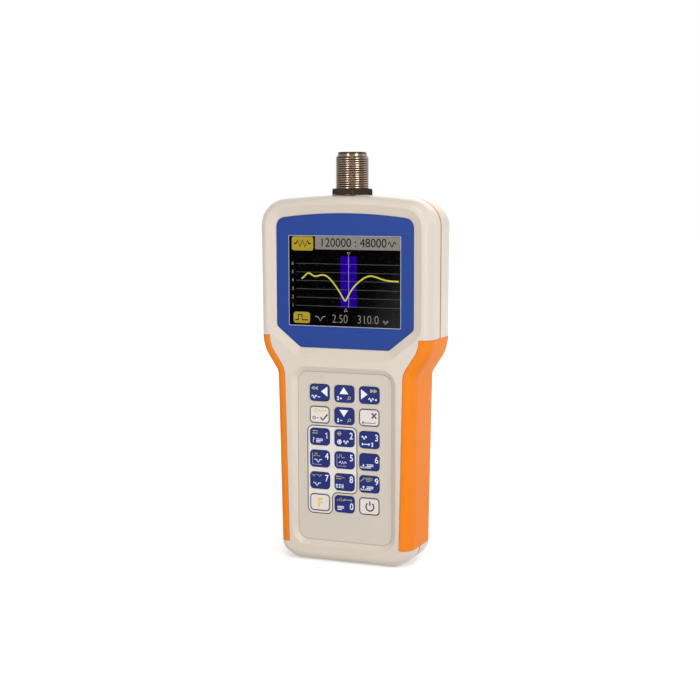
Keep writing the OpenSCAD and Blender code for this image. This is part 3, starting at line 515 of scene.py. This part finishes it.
def stamp(name, marks, material, body, face_y, origin=(0, 0)):
    """One printed piece of several marks, each (mesh, x, z), lying on a face that looks at -Y."""
    joined = bmesh.new()
    for mesh, x, z in marks:
        mesh.transform(
            Matrix.Translation((origin[0] + x, face_y, origin[1] + z))
            @ Matrix.Rotation(math.pi / 2, 4, "X")
        )
        joined.from_mesh(mesh)
        bpy.data.meshes.remove(mesh)
    bmesh.ops.scale(joined, vec=(MM, MM, MM), verts=joined.verts)
    mesh = bpy.data.meshes.new(name)
    joined.to_mesh(mesh)
    joined.free()
    return add_piece(name, mesh, material, body)


def arc(cx, cz, r, first=0, sweep=360, steps=24):
    count = steps if abs(sweep) == 360 else steps + 1
    return [
        (cx + r * math.cos(math.radians(first + sweep * k / steps)),
         cz + r * math.sin(math.radians(first + sweep * k / steps)))
        for k in range(count)
    ]


def ring(cx, cz, r):
    """A full circle as one line that ends where it starts."""
    return arc(cx, cz, r) + [(cx + r, cz)]


def rounded(corners, radius, steps=6):
    """A closed outline with each corner rounded, whichever way it turns."""
    loop = []
    count = len(corners)
    for k in range(count):
        before, corner, after = (Vector(corners[(k + d) % count]) for d in (-1, 0, 1))
        back, ahead = (before - corner).normalized(), (after - corner).normalized()
        half = back.angle(ahead) / 2
        start = corner + back * radius / math.tan(half)
        end = corner + ahead * radius / math.tan(half)
        centre = corner + (back + ahead).normalized() * radius / math.sin(half)
        for j in range(steps + 1):
            ray = (start - centre).lerp(end - centre, j / steps).normalized()
            loop.append(tuple(centre + ray * radius))
    return loop


def rectangle(w, h, radius, x=0, z=0):
    corners = [(x + w / 2, z + h / 2), (x - w / 2, z + h / 2),
               (x - w / 2, z - h / 2), (x + w / 2, z - h / 2)]
    return rounded(corners, radius)


def wave(width, height, turns=1.5, steps=18):
    return [
        (width * (k / steps - 0.5), height / 2 * math.sin(2 * math.pi * turns * k / steps))
        for k in range(steps + 1)
    ]


# ---- Signs of the keys and the picture: lines and arrows round their own middle ----

TRAY = [(-1.3, -0.1), (-1.3, -0.9), (1.3, -0.9), (1.3, -0.1)]
SIGNS = {
    "one": [[(-0.6, 0.8), (0.15, 1.4), (0.15, -1.45)]],
    "wave": [wave(2.6, 1.5)],
    "plus": [[(-0.5, 0), (0.5, 0)], [(0, -0.5), (0, 0.5)]],
    "minus": [[(-0.6, 0), (0.6, 0)]],
    "range": [[(0, 0.9), (0, -0.9)], [(-0.45, 0.45), (0, 0.9), (0.45, 0.45)],
              [(-0.45, -0.45), (0, -0.9), (0.45, -0.45)]],
    "magnifier": [ring(0.2, 0.2, 0.62), [(-0.25, -0.25), (-0.9, -0.9)]],
    "sliders": [[(-1.5, 0.55), (1.5, 0.55)], [(-1.5, -0.55), (1.5, -0.55)],
                [(-0.6, 0.15), (-0.6, 0.95)], [(0.6, -0.95), (0.6, -0.15)]],
    "polar": [ring(0, 0, 0.95), [(-0.95, 0), (0.95, 0)], arc(0.95, 0, 0.95, 100, 160, 10)],
    "target": [ring(0, 0, 0.8), [(-1.2, 0), (1.2, 0)]],
    "span": [[(-2, 0), (2, 0)], [(-1.5, 0.5), (-2, 0), (-1.5, -0.5)],
             [(1.5, 0.5), (2, 0), (1.5, -0.5)]],
    "dip": [[(-1.9, 0.8), (-0.8, 0.6), (0, -0.8), (0.8, 0.6), (1.9, 0.8)]],
    "small_dip": [[(-1.2, 0.5), (-0.4, 0.4), (0, -0.5), (0.4, 0.4), (1.2, 0.5)]],
    "zigzag": [[(-2, 0), (-1.5, 0), (-1.2, 0.7), (-0.6, -0.7), (0, 0.7), (0.6, -0.7), (1.2, 0.7),
                (1.5, 0), (2, 0)]],
    "pulse": [[(-1.8, -0.6), (-0.9, -0.6), (-0.9, 0.7), (0.1, 0.7), (0.1, -0.6), (1.8, -0.6)]],
    "store": [[(0, 0.9), (0, -0.2)], [(-0.5, 0.3), (0, -0.2), (0.5, 0.3)], TRAY],
    "fetch": [[(0, -0.3), (0, 0.9)], [(-0.5, 0.4), (0, 0.9), (0.5, 0.4)], TRAY],
    "list": [[(-1.7, 0.75), (1.7, 0.75)], [(-1.7, 0), (1.7, 0)], [(-1.7, -0.75), (0.5, -0.75)]],
    "columns": [[(-1.5, -0.8), (-1.5, 0)], [(-0.5, -0.8), (-0.5, 0.5)], [(0.5, -0.8), (0.5, 0.9)],
                [(1.5, -0.8), (1.5, 0.2)]],
    "pencil": [[(-1, -0.8), (0.9, 0.8)], [(-1, -0.8), (-1.4, -0.9)], [(1.2, 0.4), (0.5, 1)]],
    "blocks": [[(x, z), (x + 1, z)] for x in (-2, -0.5, 1) for z in (-0.7, 0, 0.7)],
    "tick": [[(-1.8, 0), (-0.6, -1.3), (1.9, 1.6)]],
    "cross": [[(-1.2, 1.3), (1.2, -1.3)], [(-1.2, -1.3), (1.2, 1.3)]],
    "power": [arc(0, 0, 2.0, 125, 290, 28), [(0, 0.5), (0, 2.7)]],
    "loop": [arc(0, 0, 0.8, 60, 300, 18), [(0.4, 0.2), (0.45, 0.75), (1.0, 0.6)]],
    "back": [[(3.4, 0.5), (3.4, -0.2), (-3.2, -0.2)], [(-2.4, 0.6), (-3.2, -0.2), (-2.4, -1)]],
    "ring": [ring(0, 0, 0.7)],
    "bracket": [[(-2.7, 2.8), (-2.7, -2.9), (2.2, -2.9)]],
}
ARROWS = {
    "left": [(-1.65, 0), (1.65, 2.45), (1.65, -2.45)],
    "right": [(1.65, 0), (-1.65, -2.45), (-1.65, 2.45)],
    "up": [(0, 1.75), (-2.3, -1.6), (2.3, -1.6)],
    "down": [(0, -1.75), (2.3, 1.6), (-2.3, 1.6)],
    "fast_left": [(-1.8, 0), (0, 1.0), (0, 0.1), (1.8, 1.0), (1.8, -1.0), (0, -0.1), (0, -1.0)],
    "fast_right": [(1.8, 0), (0, -1.0), (0, -0.1), (-1.8, -1.0), (-1.8, 1.0), (0, 0.1), (0, 1.0)],
}


def sign(name, width, x, z, size=1):
    """A sign as a mark for a stamp, drawn with lines of one width and size times as large."""
    lines = [[(size * px, size * pz) for px, pz in line] for line in SIGNS[name]]
    return stroked(lines, width), x, z


# ---- Keypad print ----

# What is printed on each key by ink: arrows, signs and figures, at x and z from its middle
LEGENDS = {
    "key_left": {"white": [("arrow", "left", 2.5, 0.65), ("sign", "wave", -2.8, -2.1),
                           ("sign", "minus", -0.3, -2.1)],
                 "olive": [("arrow", "fast_left", -2.7, 2.1)]},
    "key_up": {"white": [("arrow", "up", -0.2, 1.5), ("sign", "range", -3.2, -2.2),
                         ("sign", "plus", -1.7, -2.2)],
               "olive": [("sign", "magnifier", 2.5, -2.0)]},
    "key_right": {"white": [("arrow", "right", -2.5, 0.35), ("sign", "wave", 1.0, -2.1),
                            ("sign", "plus", 3.5, -2.1)],
                  "olive": [("arrow", "fast_right", 2.4, 2.1)]},
    "key_accept": {"dark": [("sign", "tick", 2.2, -1.3), ("sign", "ring", -2.9, -1.6),
                            ("sign", "minus", -1.0, -1.6)],
                   "yellow": [("sign", "loop", -2.2, 2.0), ("sign", "span", 1.3, 2.0)]},
    "key_down": {"white": [("arrow", "down", -0.2, 1.4), ("sign", "range", -3.2, -2.2),
                           ("sign", "minus", -1.6, -2.2)],
                 "olive": [("sign", "magnifier", 2.5, -2.0)]},
    "key_cancel": {"dark": [("sign", "cross", 2.5, 1.0), ("sign", "back", -0.4, -2.4)]},
    "key_1": {"white": [("sign", "one", 3.6, 0.7), ("figure", "?", -3.3, -1.9),
                        ("sign", "list", -0.2, -1.9)],
              "olive": [("sign", "sliders", -2.5, 2.2)]},
    "key_2": {"white": [("figure", "2", 3.6, 1.1), ("sign", "polar", -2.6, -1.9),
                        ("sign", "wave", 0.8, -1.9)],
              "olive": [("sign", "target", -2.6, 2.2)]},
    "key_3": {"white": [("figure", "3", 3.8, 1.0), ("sign", "range", 1.6, -2.2),
                        ("sign", "span", -1.8, -2.2), ("sign", "wave", -2.6, 1.0)]},
    "key_4": {"white": [("figure", "4", 3.7, 1.2), ("sign", "dip", -0.9, -1.2)],
              "thin": [("sign", "bracket", -1.2, 0)],
              "olive": [("sign", "pulse", -1.6, 1.9)]},
    "key_5": {"white": [("figure", "5", 3.7, 1.2), ("sign", "zigzag", -0.9, -1.2)],
              "thin": [("sign", "bracket", -1.2, 0)],
              "olive": [("sign", "pulse", -1.6, 1.9)]},
    "key_6": {"white": [("figure", "6", 3.8, 1.1), ("sign", "store", -3.0, -2.0),
                        ("sign", "list", 0.4, -2.0)]},
    "key_7": {"white": [("figure", "7", 3.6, 1.2), ("sign", "dip", -1.6, -2.0)],
              "olive": [("sign", "small_dip", -3.2, 2.2), ("sign", "small_dip", -0.2, 2.2)]},
    "key_8": {"white": [("figure", "8", 3.6, 1.4), ("sign", "blocks", -2.5, -2.0)],
              "olive": [("sign", "sliders", -3.0, 2.2), ("sign", "minus", -0.6, 2.2)]},
    "key_9": {"white": [("figure", "9", 3.8, 1.3), ("sign", "fetch", -3.0, -2.0),
                        ("sign", "list", 0.4, -2.0)],
              "olive": [("sign", "pencil", -3.2, 2.2), ("sign", "list", 0, 2.2)]},
    "key_function": {"yellow": [("figure", "F", 0, -0.4)]},
    "key_0": {"white": [("figure", "0", 3.7, -1.1), ("sign", "list", -2.0, -2.0)],
              "olive": [("sign", "columns", -2.2, 2.2), ("sign", "span", 1.8, 2.2)]},
    "key_power": {"dark": [("sign", "power", 0.3, -0.2)]},
}
PLAIN_FIGURE = (3.3, 0.01)      # height, and boldness as a share of it
FIGURES = {"F": (4.4, 0.07), "?": (2.6, 0.01)}
FIGURE_NARROW = 0.86
SIGN_WIDTH = 0.36               # width of the signs' lines, where neither sign nor ink has its own
SIGN_WIDTHS = {"tick": 0.8, "cross": 0.75, "power": 0.7, "one": 0.5}
INK_WIDTHS = {"white": 0.42, "thin": 0.25}
OUTLINE_WIDTH = 0.48


def mark(kind, what, x, z, ink):
    """One mark of a key's legend as a mark for a stamp."""
    if kind == "arrow":
        return filled([ARROWS[what]]), x, z
    if kind == "sign":
        return sign(what, SIGN_WIDTHS.get(what, INK_WIDTHS.get(ink, SIGN_WIDTH)), x, z)
    return written(what, *FIGURES.get(what, PLAIN_FIGURE), FIGURE_NARROW), x, z


def print_key(name, x, z):
    """A key's legend, and the dark outline that a white key has."""
    slot = SLOT_OF[name]
    for ink, marks in LEGENDS[name].items():
        stamp(f"{name}_{ink}_print", [mark(*m, ink) for m in marks], INKS[ink], name,
              KEY_FACE_Y, (x, z))
    if slot == "key_white":
        inset, line_r = 0.45, KEY_R - 0.22
        line = rectangle(KEY_W - inset, KEY_H - inset, line_r)
        stamp(f"{name}_outline", [(stroked([line], OUTLINE_WIDTH, True), 0, 0)], INKS["dark"],
              name, KEY_FACE_Y, (x, z))


def print_keys():
    for row, z in zip(KEY_ROWS, ROW_Z):
        for name, x in zip(row, COLUMN_X):
            print_key(name, x, z)


def print_keypad():
    """The paler field behind the two left columns of figures and the shift key, and its
    thin outline."""
    corner_r, hole_gap, hole_r = 2.8, 0.35, KEY_R + 0.2
    step_x = (COLUMN_X[1] - COLUMN_X[0]) / 2
    step_z = (ROW_Z[0] - ROW_Z[1]) / 2
    left, right = COLUMN_X[0] - step_x, COLUMN_X[1] + step_x
    top, bottom = ROW_Z[2] + step_z, ROW_Z[5] - step_z
    notch_x, notch_z = COLUMN_X[0] + step_x, ROW_Z[4] - step_z
    corners = [(left, top), (left, bottom), (notch_x, bottom), (notch_x, notch_z),
               (right, notch_z), (right, top)]
    outline = rounded(corners, corner_r)
    # The row and column of each key inside the outline
    framed_keys = [(row, column) for row in (2, 3, 4) for column in (0, 1)] + [(5, 0)]
    holes = [
        rectangle(KEY_W + hole_gap, KEY_H + hole_gap, hole_r, COLUMN_X[column], ROW_Z[row])
        for row, column in framed_keys
    ]
    stamp("keypad_pale_field", [(filled([outline] + holes), 0, 0)], INKS["pale"], "case",
          PANEL_FACE_Y)
    stamp("keypad_outline", [(stroked([outline], OUTLINE_WIDTH, True), 0, 0)], INKS["dark"],
          "case", PANEL_FACE_Y - INK / 2)


# ---- The lit picture: plain grid, trace, band and figures, from the screen's middle ----

# Colour of each layer of the picture and the strength of its glow
PICTURE_COLOURS = {
    "band": (linear(38, 0, 148), 0.85),
    "grid": (linear(124, 120, 124), 0.55),
    "marker": (linear(190, 180, 220), 0.8),
    "trace": (linear(208, 206, 78), 0.85),
    "bar": (linear(150, 145, 136), 0.8),
    "tag": (linear(182, 160, 52), 0.85),
    "figures": (linear(164, 158, 148), 0.75),
    "black": (linear(6, 5, 10), 1),
}
PICTURE_Y = high("display_window").y - 0.02     # just before the display's glass
LAYER_STEP = 0.04       # each layer lies this much before the one behind it
LEVEL_TOP, LEVEL_STEP, LEVEL_COUNT = 8.2, 4.05, 6
LEVELS = [LEVEL_TOP - LEVEL_STEP * k for k in range(LEVEL_COUNT)]
GRID_LEFT = -25.2
SCALE_X = -27.0         # the figures beside the grid
BAND_LEFT, BAND_RIGHT, BAND_BOTTOM, BAND_TOP = -2.2, 6.3, -12.4, 12.0
MARKER_X = 2.1
DIP_X = 0.3             # where the trace is lowest
TRACE_LEFT, TRACE_STEP, TRACE_POINTS = -22.4, 0.4, 126
BAR_LEFT, BAR_H, BAR_Z = -15.2, 6.2, 18.2
TOP_TAG = (-21.8, 17.8)
BOTTOM_TAG = (-22.4, -17.8)
VALUES_Z = -18.1
GRID_WIDTH, MARKER_WIDTH, POINTER_WIDTH, TRACE_WIDTH = 0.16, 0.2, 0.3, 0.72


def hump(x, height, centre, width):
    return height * math.exp(-((x - centre) / width) ** 2)


def trace_z(x):
    """Height of the trace: gentle humps with one sharp dip between them."""
    base, dip_depth, dip_round = 0.6, 9.9, 0.8
    dip_width = 4.5 if x < DIP_X else 3.6
    away = math.hypot(x - DIP_X, dip_round) - dip_round
    humps = hump(x, 2.9, -18.8, 2.6) + hump(x, 3.3, -10.4, 5.5) + hump(x, 2.6, 13, 6)
    return base + humps - dip_depth * math.exp(-away / dip_width)


def box_mark(w, h, radius, x, z):
    return filled([rectangle(w, h, radius)]), x, z


def picture_marks():
    """The marks of each colour, from the back to the front."""
    right = SCREEN_W / 2
    grid_right = right - 0.2
    grid = [[(GRID_LEFT, z), (grid_right, z)] for z in LEVELS]
    marker = [(MARKER_X, BAND_BOTTOM), (MARKER_X, BAND_TOP)]
    upper_pointer = [(-0.7, 0.6), (0.7, 0.6), (0, -0.7)]
    lower_pointer = [(-0.8, -0.7), (0.8, -0.7), (0, 0.7)]
    trace_x = [TRACE_LEFT + TRACE_STEP * k for k in range(TRACE_POINTS)]
    trace = [(x, trace_z(x)) for x in trace_x]
    scale = [(written(str(LEVEL_COUNT - k), 1.7, 0.01, 0.8), SCALE_X, z)
             for k, z in enumerate(LEVELS)]
    return {
        "band": [box_mark(BAND_RIGHT - BAND_LEFT, BAND_TOP - BAND_BOTTOM, 0.3,
                          (BAND_LEFT + BAND_RIGHT) / 2, (BAND_BOTTOM + BAND_TOP) / 2)],
        "grid": [(stroked(grid, GRID_WIDTH), 0, 0)],
        "marker": [(stroked([marker], MARKER_WIDTH), 0, 0),
                   (stroked([upper_pointer], POINTER_WIDTH, True), MARKER_X, 13.2),
                   (stroked([lower_pointer], POINTER_WIDTH, True), 0.6, -13.6)],
        "trace": [(stroked([trace], TRACE_WIDTH), 0, 0)],
        "bar": [box_mark(right - BAR_LEFT, BAR_H, 0.5, (right + BAR_LEFT) / 2, BAR_Z)],
        "tag": [box_mark(11.3, 6.7, 1.2, *TOP_TAG), box_mark(8.7, 5.4, 1.4, *BOTTOM_TAG)],
        "figures": [sign("dip", 0.4, -12.6, VALUES_Z, 1.4),
                    (written("2.50", 4.1, -0.025, 0.85), -2.4, VALUES_Z),
                    (written("310.0", 4.1, -0.025, 0.9), 12.0, VALUES_Z),
                    sign("wave", 0.35, 21.0, -18.9),
                    *scale],
        "black": [(written("120000 : 48000", 4.2, 0, 0.94), 4.4, BAR_Z),
                  sign("wave", 0.4, 24.2, 17.9, 1.5),
                  sign("zigzag", 0.7, *TOP_TAG, 2.2),
                  sign("pulse", 0.6, *BOTTOM_TAG, 1.9)],
    }


def draw_picture():
    for layer, (colour, marks) in enumerate(picture_marks().items()):
        material = lit(f"picture_{colour}", *PICTURE_COLOURS[colour])
        stamp(f"picture_{colour}", marks, material, "case", PICTURE_Y - LAYER_STEP * layer,
              (SCREEN.x, SCREEN.z))


def draw_window_edge():
    """The cut edge of the bezel's film round the window."""
    gap, line_width, line_out = 0.2, 0.3, 0.01
    line = rectangle(SCREEN_W + gap, SCREEN_H + gap, 0.2)
    stamp("window_edge", [(stroked([line], line_width, True), 0, 0)], INKS["edge"], "case",
          PANEL_FACE_Y - line_out, (SCREEN.x, SCREEN.z))


# ---- The coaxial jack with its real thread ----

def lathe(rings, around):
    """A closed surface of revolution round +Z; a ring is (z, radius) or (z, function of angle)."""
    made = bmesh.new()
    loops = []
    for z, radius in rings:
        loop = []
        for k in range(around):
            angle = 2 * math.pi * k / around
            r = radius(angle) if callable(radius) else radius
            loop.append(made.verts.new((r * math.cos(angle), r * math.sin(angle), z)))
        loops.append(loop)
    for j in range(len(loops)):
        this, following = loops[j], loops[(j + 1) % len(loops)]
        for k in range(around):
            n = (k + 1) % around
            made.faces.new((this[k], this[n], following[n], following[k]))
    bmesh.ops.recalc_face_normals(made, faces=made.faces)
    return made


def share(value):
    """A value held between 0 and 1."""
    return min(1, max(0, value))


def thread(z, start, end):
    """The thread's radius at height z as a function of the angle. The thread runs out at both
    ends, and its last turn is chamfered."""
    flat_valley, flank = 0.06, 0.38
    chamfer, chamfer_h = 0.35, 0.7
    upper_fade_h, lower_fade_h, faded_in_at_start = 0.8, 0.5, 0.2
    upper_fade = share((end - z) / upper_fade_h)
    lower_fade = share((z - start + faded_in_at_start) / lower_fade_h)
    depth = THREAD_DEPTH * min(upper_fade, lower_fade)
    lead = chamfer * max(0, 1 - (end - z) / chamfer_h)

    def radius(angle):
        phase = (z / THREAD_PITCH - angle / (2 * math.pi)) % 1
        tooth = share((1 - abs(2 * phase - 1) - flat_valley) / flank)
        return THREAD_R - depth * (1 - tooth) - lead

    return radius


def smooth(mesh):
    for face in mesh.polygons:
        face.use_smooth = True


def build_jack():
    """Threaded barrel, plain lip, bore, flange and tail as one turned piece."""
    edge, mouth_edge, inside_nut = 0.3, 0.4, 0.4
    thread_steps, around, sharp_angle = 150, 72, 40
    flange_bottom, flange_top = JACK_BOTTOM + TAIL_H, low("jack_washer").z
    start, end = high("jack_nut").z - inside_nut, JACK_TOP - LIP_H
    bore_bottom = JACK_TOP - BORE_DEPTH
    heights = [start + (end - start) * k / thread_steps for k in range(thread_steps + 1)]
    rings = [(JACK_BOTTOM, INSULATOR_R), (JACK_BOTTOM, TAIL_R), (flange_bottom, TAIL_R),
             (flange_bottom, FLANGE_R), (flange_top, FLANGE_R), (flange_top, NECK_R),
             (start, NECK_R)]
    rings += [(z, thread(z, start, end)) for z in heights]
    rings += [(end, LIP_R), (JACK_TOP - edge, LIP_R), (JACK_TOP, LIP_R - edge),
              (JACK_TOP, BORE_R + mouth_edge), (JACK_TOP - mouth_edge, BORE_R),
              (bore_bottom, BORE_R), (bore_bottom, INSULATOR_R)]
    turned = lathe(rings, around)
    bmesh.ops.transform(turned, matrix=Matrix.Scale(MM, 4) @ Matrix.Translation((0, JACK_Y, 0)),
                        verts=turned.verts)
    mesh = bpy.data.meshes.new("jack_barrel")
    turned.to_mesh(mesh)
    turned.free()
    smooth(mesh)
    mesh.set_sharp_from_angle(angle=math.radians(sharp_angle))
    piece = add_piece("jack_barrel", mesh, FINISHES["jack_nickel"], "case")
    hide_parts("jack_body")


# ---- Battery springs ----

def coil(x, y, foot_z, rise):
    """Points of a coil that narrows from its foot to its end; a negative rise hangs down."""
    wide, narrow, turns, steps = 3.9, 2.5, 5, 24
    points = []
    for k in range(turns * steps + 1):
        t = k / (turns * steps)
        angle = 2 * math.pi * turns * t
        r = wide + (narrow - wide) * t
        points.append((x + r * math.cos(angle), y + r * math.sin(angle), foot_z + rise * t))
    return points


def build_springs():
    """Tapered coils in place of the plain cones."""
    wire_r, free_h = 0.4, 6.4
    rise = free_h - 2 * wire_r
    bottom = low("battery_springs").z + wire_r
    top = high("battery_springs").z - wire_r
    curve = round_wire("coils", wire_r)
    for cell, foot_z, way in (("cell_left", bottom, 1), ("cell_middle", top, -1),
                              ("cell_right", bottom, 1)):
        add_line(curve, coil(middle(cell).x, middle(cell).y, foot_z, way * rise))
    mesh = baked_mesh(curve)
    mesh.transform(Matrix.Scale(MM, 4))
    smooth(mesh)
    piece = add_piece("battery_coils", mesh, FINISHES["spring_steel"], "case")
    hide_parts("battery_springs")


# ---- Camera: the photograph's view ----

AIM = Vector((3.0, -13.5, 104.35)) * MM
CAMERA_AWAY = 700 * MM
CAMERA_TURN, CAMERA_RISE, CAMERA_ROLL = (math.radians(a) for a in (22.694, 6.604, -0.167))
PIXELS_PER_MM = 2.098
PHOTO_PIXELS = 700
SENSOR_MM = 36


def towards(turn, rise):
    """The way from the object to a place seen at a turn from its front and a rise."""
    return Vector((math.sin(turn) * math.cos(rise), -math.cos(turn) * math.cos(rise),
                   math.sin(rise)))


def facing(way):
    """The rotation of a camera or lamp that looks back along a way."""
    return (-way).to_track_quat("-Z", "Y")


def place_camera():
    data = bpy.data.cameras.new("camera")
    data.sensor_width = SENSOR_MM
    data.lens = SENSOR_MM * PIXELS_PER_MM * (CAMERA_AWAY / MM) / PHOTO_PIXELS
    data.clip_start = 0.01
    camera = bpy.data.objects.new("camera", data)
    bpy.context.scene.collection.objects.link(camera)
    way = towards(CAMERA_TURN, CAMERA_RISE)
    camera.location = AIM + way * CAMERA_AWAY
    rolled = facing(way).to_matrix() @ Matrix.Rotation(CAMERA_ROLL, 3, "Z")
    camera.rotation_euler = rolled.to_euler()
    bpy.context.scene.camera = camera


# ---- Light and floor ----

# Name, turn and rise in degrees, distance, width and height in metres, and radiance
SOFTBOXES = [
    ("front_strip", -11, 5.5, 1.0, 0.24, 0.15, 13),
    ("right_strip", 57, 5.5, 1.0, 0.34, 0.15, 13),
    ("front_box", 22, 42, 1.2, 0.42, 0.42, 6.6),
    ("right_box", 128, 22, 1.2, 0.9, 0.9, 1.1),
    ("top_box", 10, 70, 1.1, 0.7, 0.7, 0.8),
    ("rear_box", 190, 30, 1.2, 0.9, 0.9, 1.3),
]
LIT_CENTRE = Vector((0, 0, 100)) * MM


def softbox(name, turn, rise, away, width, height, radiance):
    """An area light that looks at the object."""
    data = bpy.data.lights.new(name, "AREA")
    data.shape = "RECTANGLE"
    data.size, data.size_y = width, height
    data.energy = radiance * math.pi * width * height
    lamp = bpy.data.objects.new(name, data)
    bpy.context.scene.collection.objects.link(lamp)
    way = towards(math.radians(turn), math.radians(rise))
    lamp.location = LIT_CENTRE + way * away
    lamp.rotation_euler = facing(way).to_euler()


def seen_strength(tree, seen, unseen):
    """A strength for rays that show the background, and another for rays that light things."""
    path = tree.nodes.new("ShaderNodeLightPath").outputs
    shown = compute(tree, "MAXIMUM", path["Is Camera Ray"], path["Is Glossy Ray"])
    shown = compute(tree, "MAXIMUM", shown, path["Is Transmission Ray"])
    return span(tree, shown, 0, 1, unseen, seen)


def light_world():
    """A white background, which lights the object less from its left."""
    left_x, full_x = -1, 0.2
    left_light, full_light = 0.22, 0.46
    world = bpy.data.worlds.new("world")
    bpy.context.scene.world = world
    world.use_nodes = True
    tree = world.node_tree
    back = tree.nodes["Background"]
    back.inputs["Color"].default_value = (*WHITE, 1)
    sideways = axis(tree, place(tree, "Generated"), "X")
    light = span(tree, sideways, left_x, full_x, left_light, full_light)
    feed(tree, back.inputs["Strength"], seen_strength(tree, 1, light))


def floor_material():
    """Pale floor with a soft shadow, which turns to the background's white further out."""
    near, far, near_glow = 50 * MM, 400 * MM, 0.42
    material, tree, shader = new_material(
        "floor", Base_Color=(0.82, 0.82, 0.82, 1), Roughness=0.9, Specular_IOR_Level=0.1,
        Emission_Color=(*WHITE, 1))
    away = compute_vector(tree, "LENGTH", place(tree), output="Value")
    fade = span(tree, away, near, far, near_glow, 1, "SMOOTHSTEP")
    strength = compute(tree, "MULTIPLY", fade, seen_strength(tree, 1, 0))
    feed(tree, shader.inputs["Emission Strength"], strength)
    return material


def lay_floor():
    half = 4000 * MM
    mesh = bpy.data.meshes.new("floor")
    mesh.from_pydata([(-half, -half, 0), (half, -half, 0), (half, half, 0), (-half, half, 0)], [],
                     [(0, 1, 2, 3)])
    mesh.materials.append(floor_material())
    floor = bpy.data.objects.new("floor", mesh)
    bpy.context.scene.collection.objects.link(floor)


finish_frame()
print_keys()
print_keypad()
draw_picture()
draw_window_edge()
build_jack()
build_springs()
place_camera()
for box in SOFTBOXES:
    softbox(*box)
light_world()
lay_floor()
bpy.context.scene.view_settings.view_transform = "Standard"
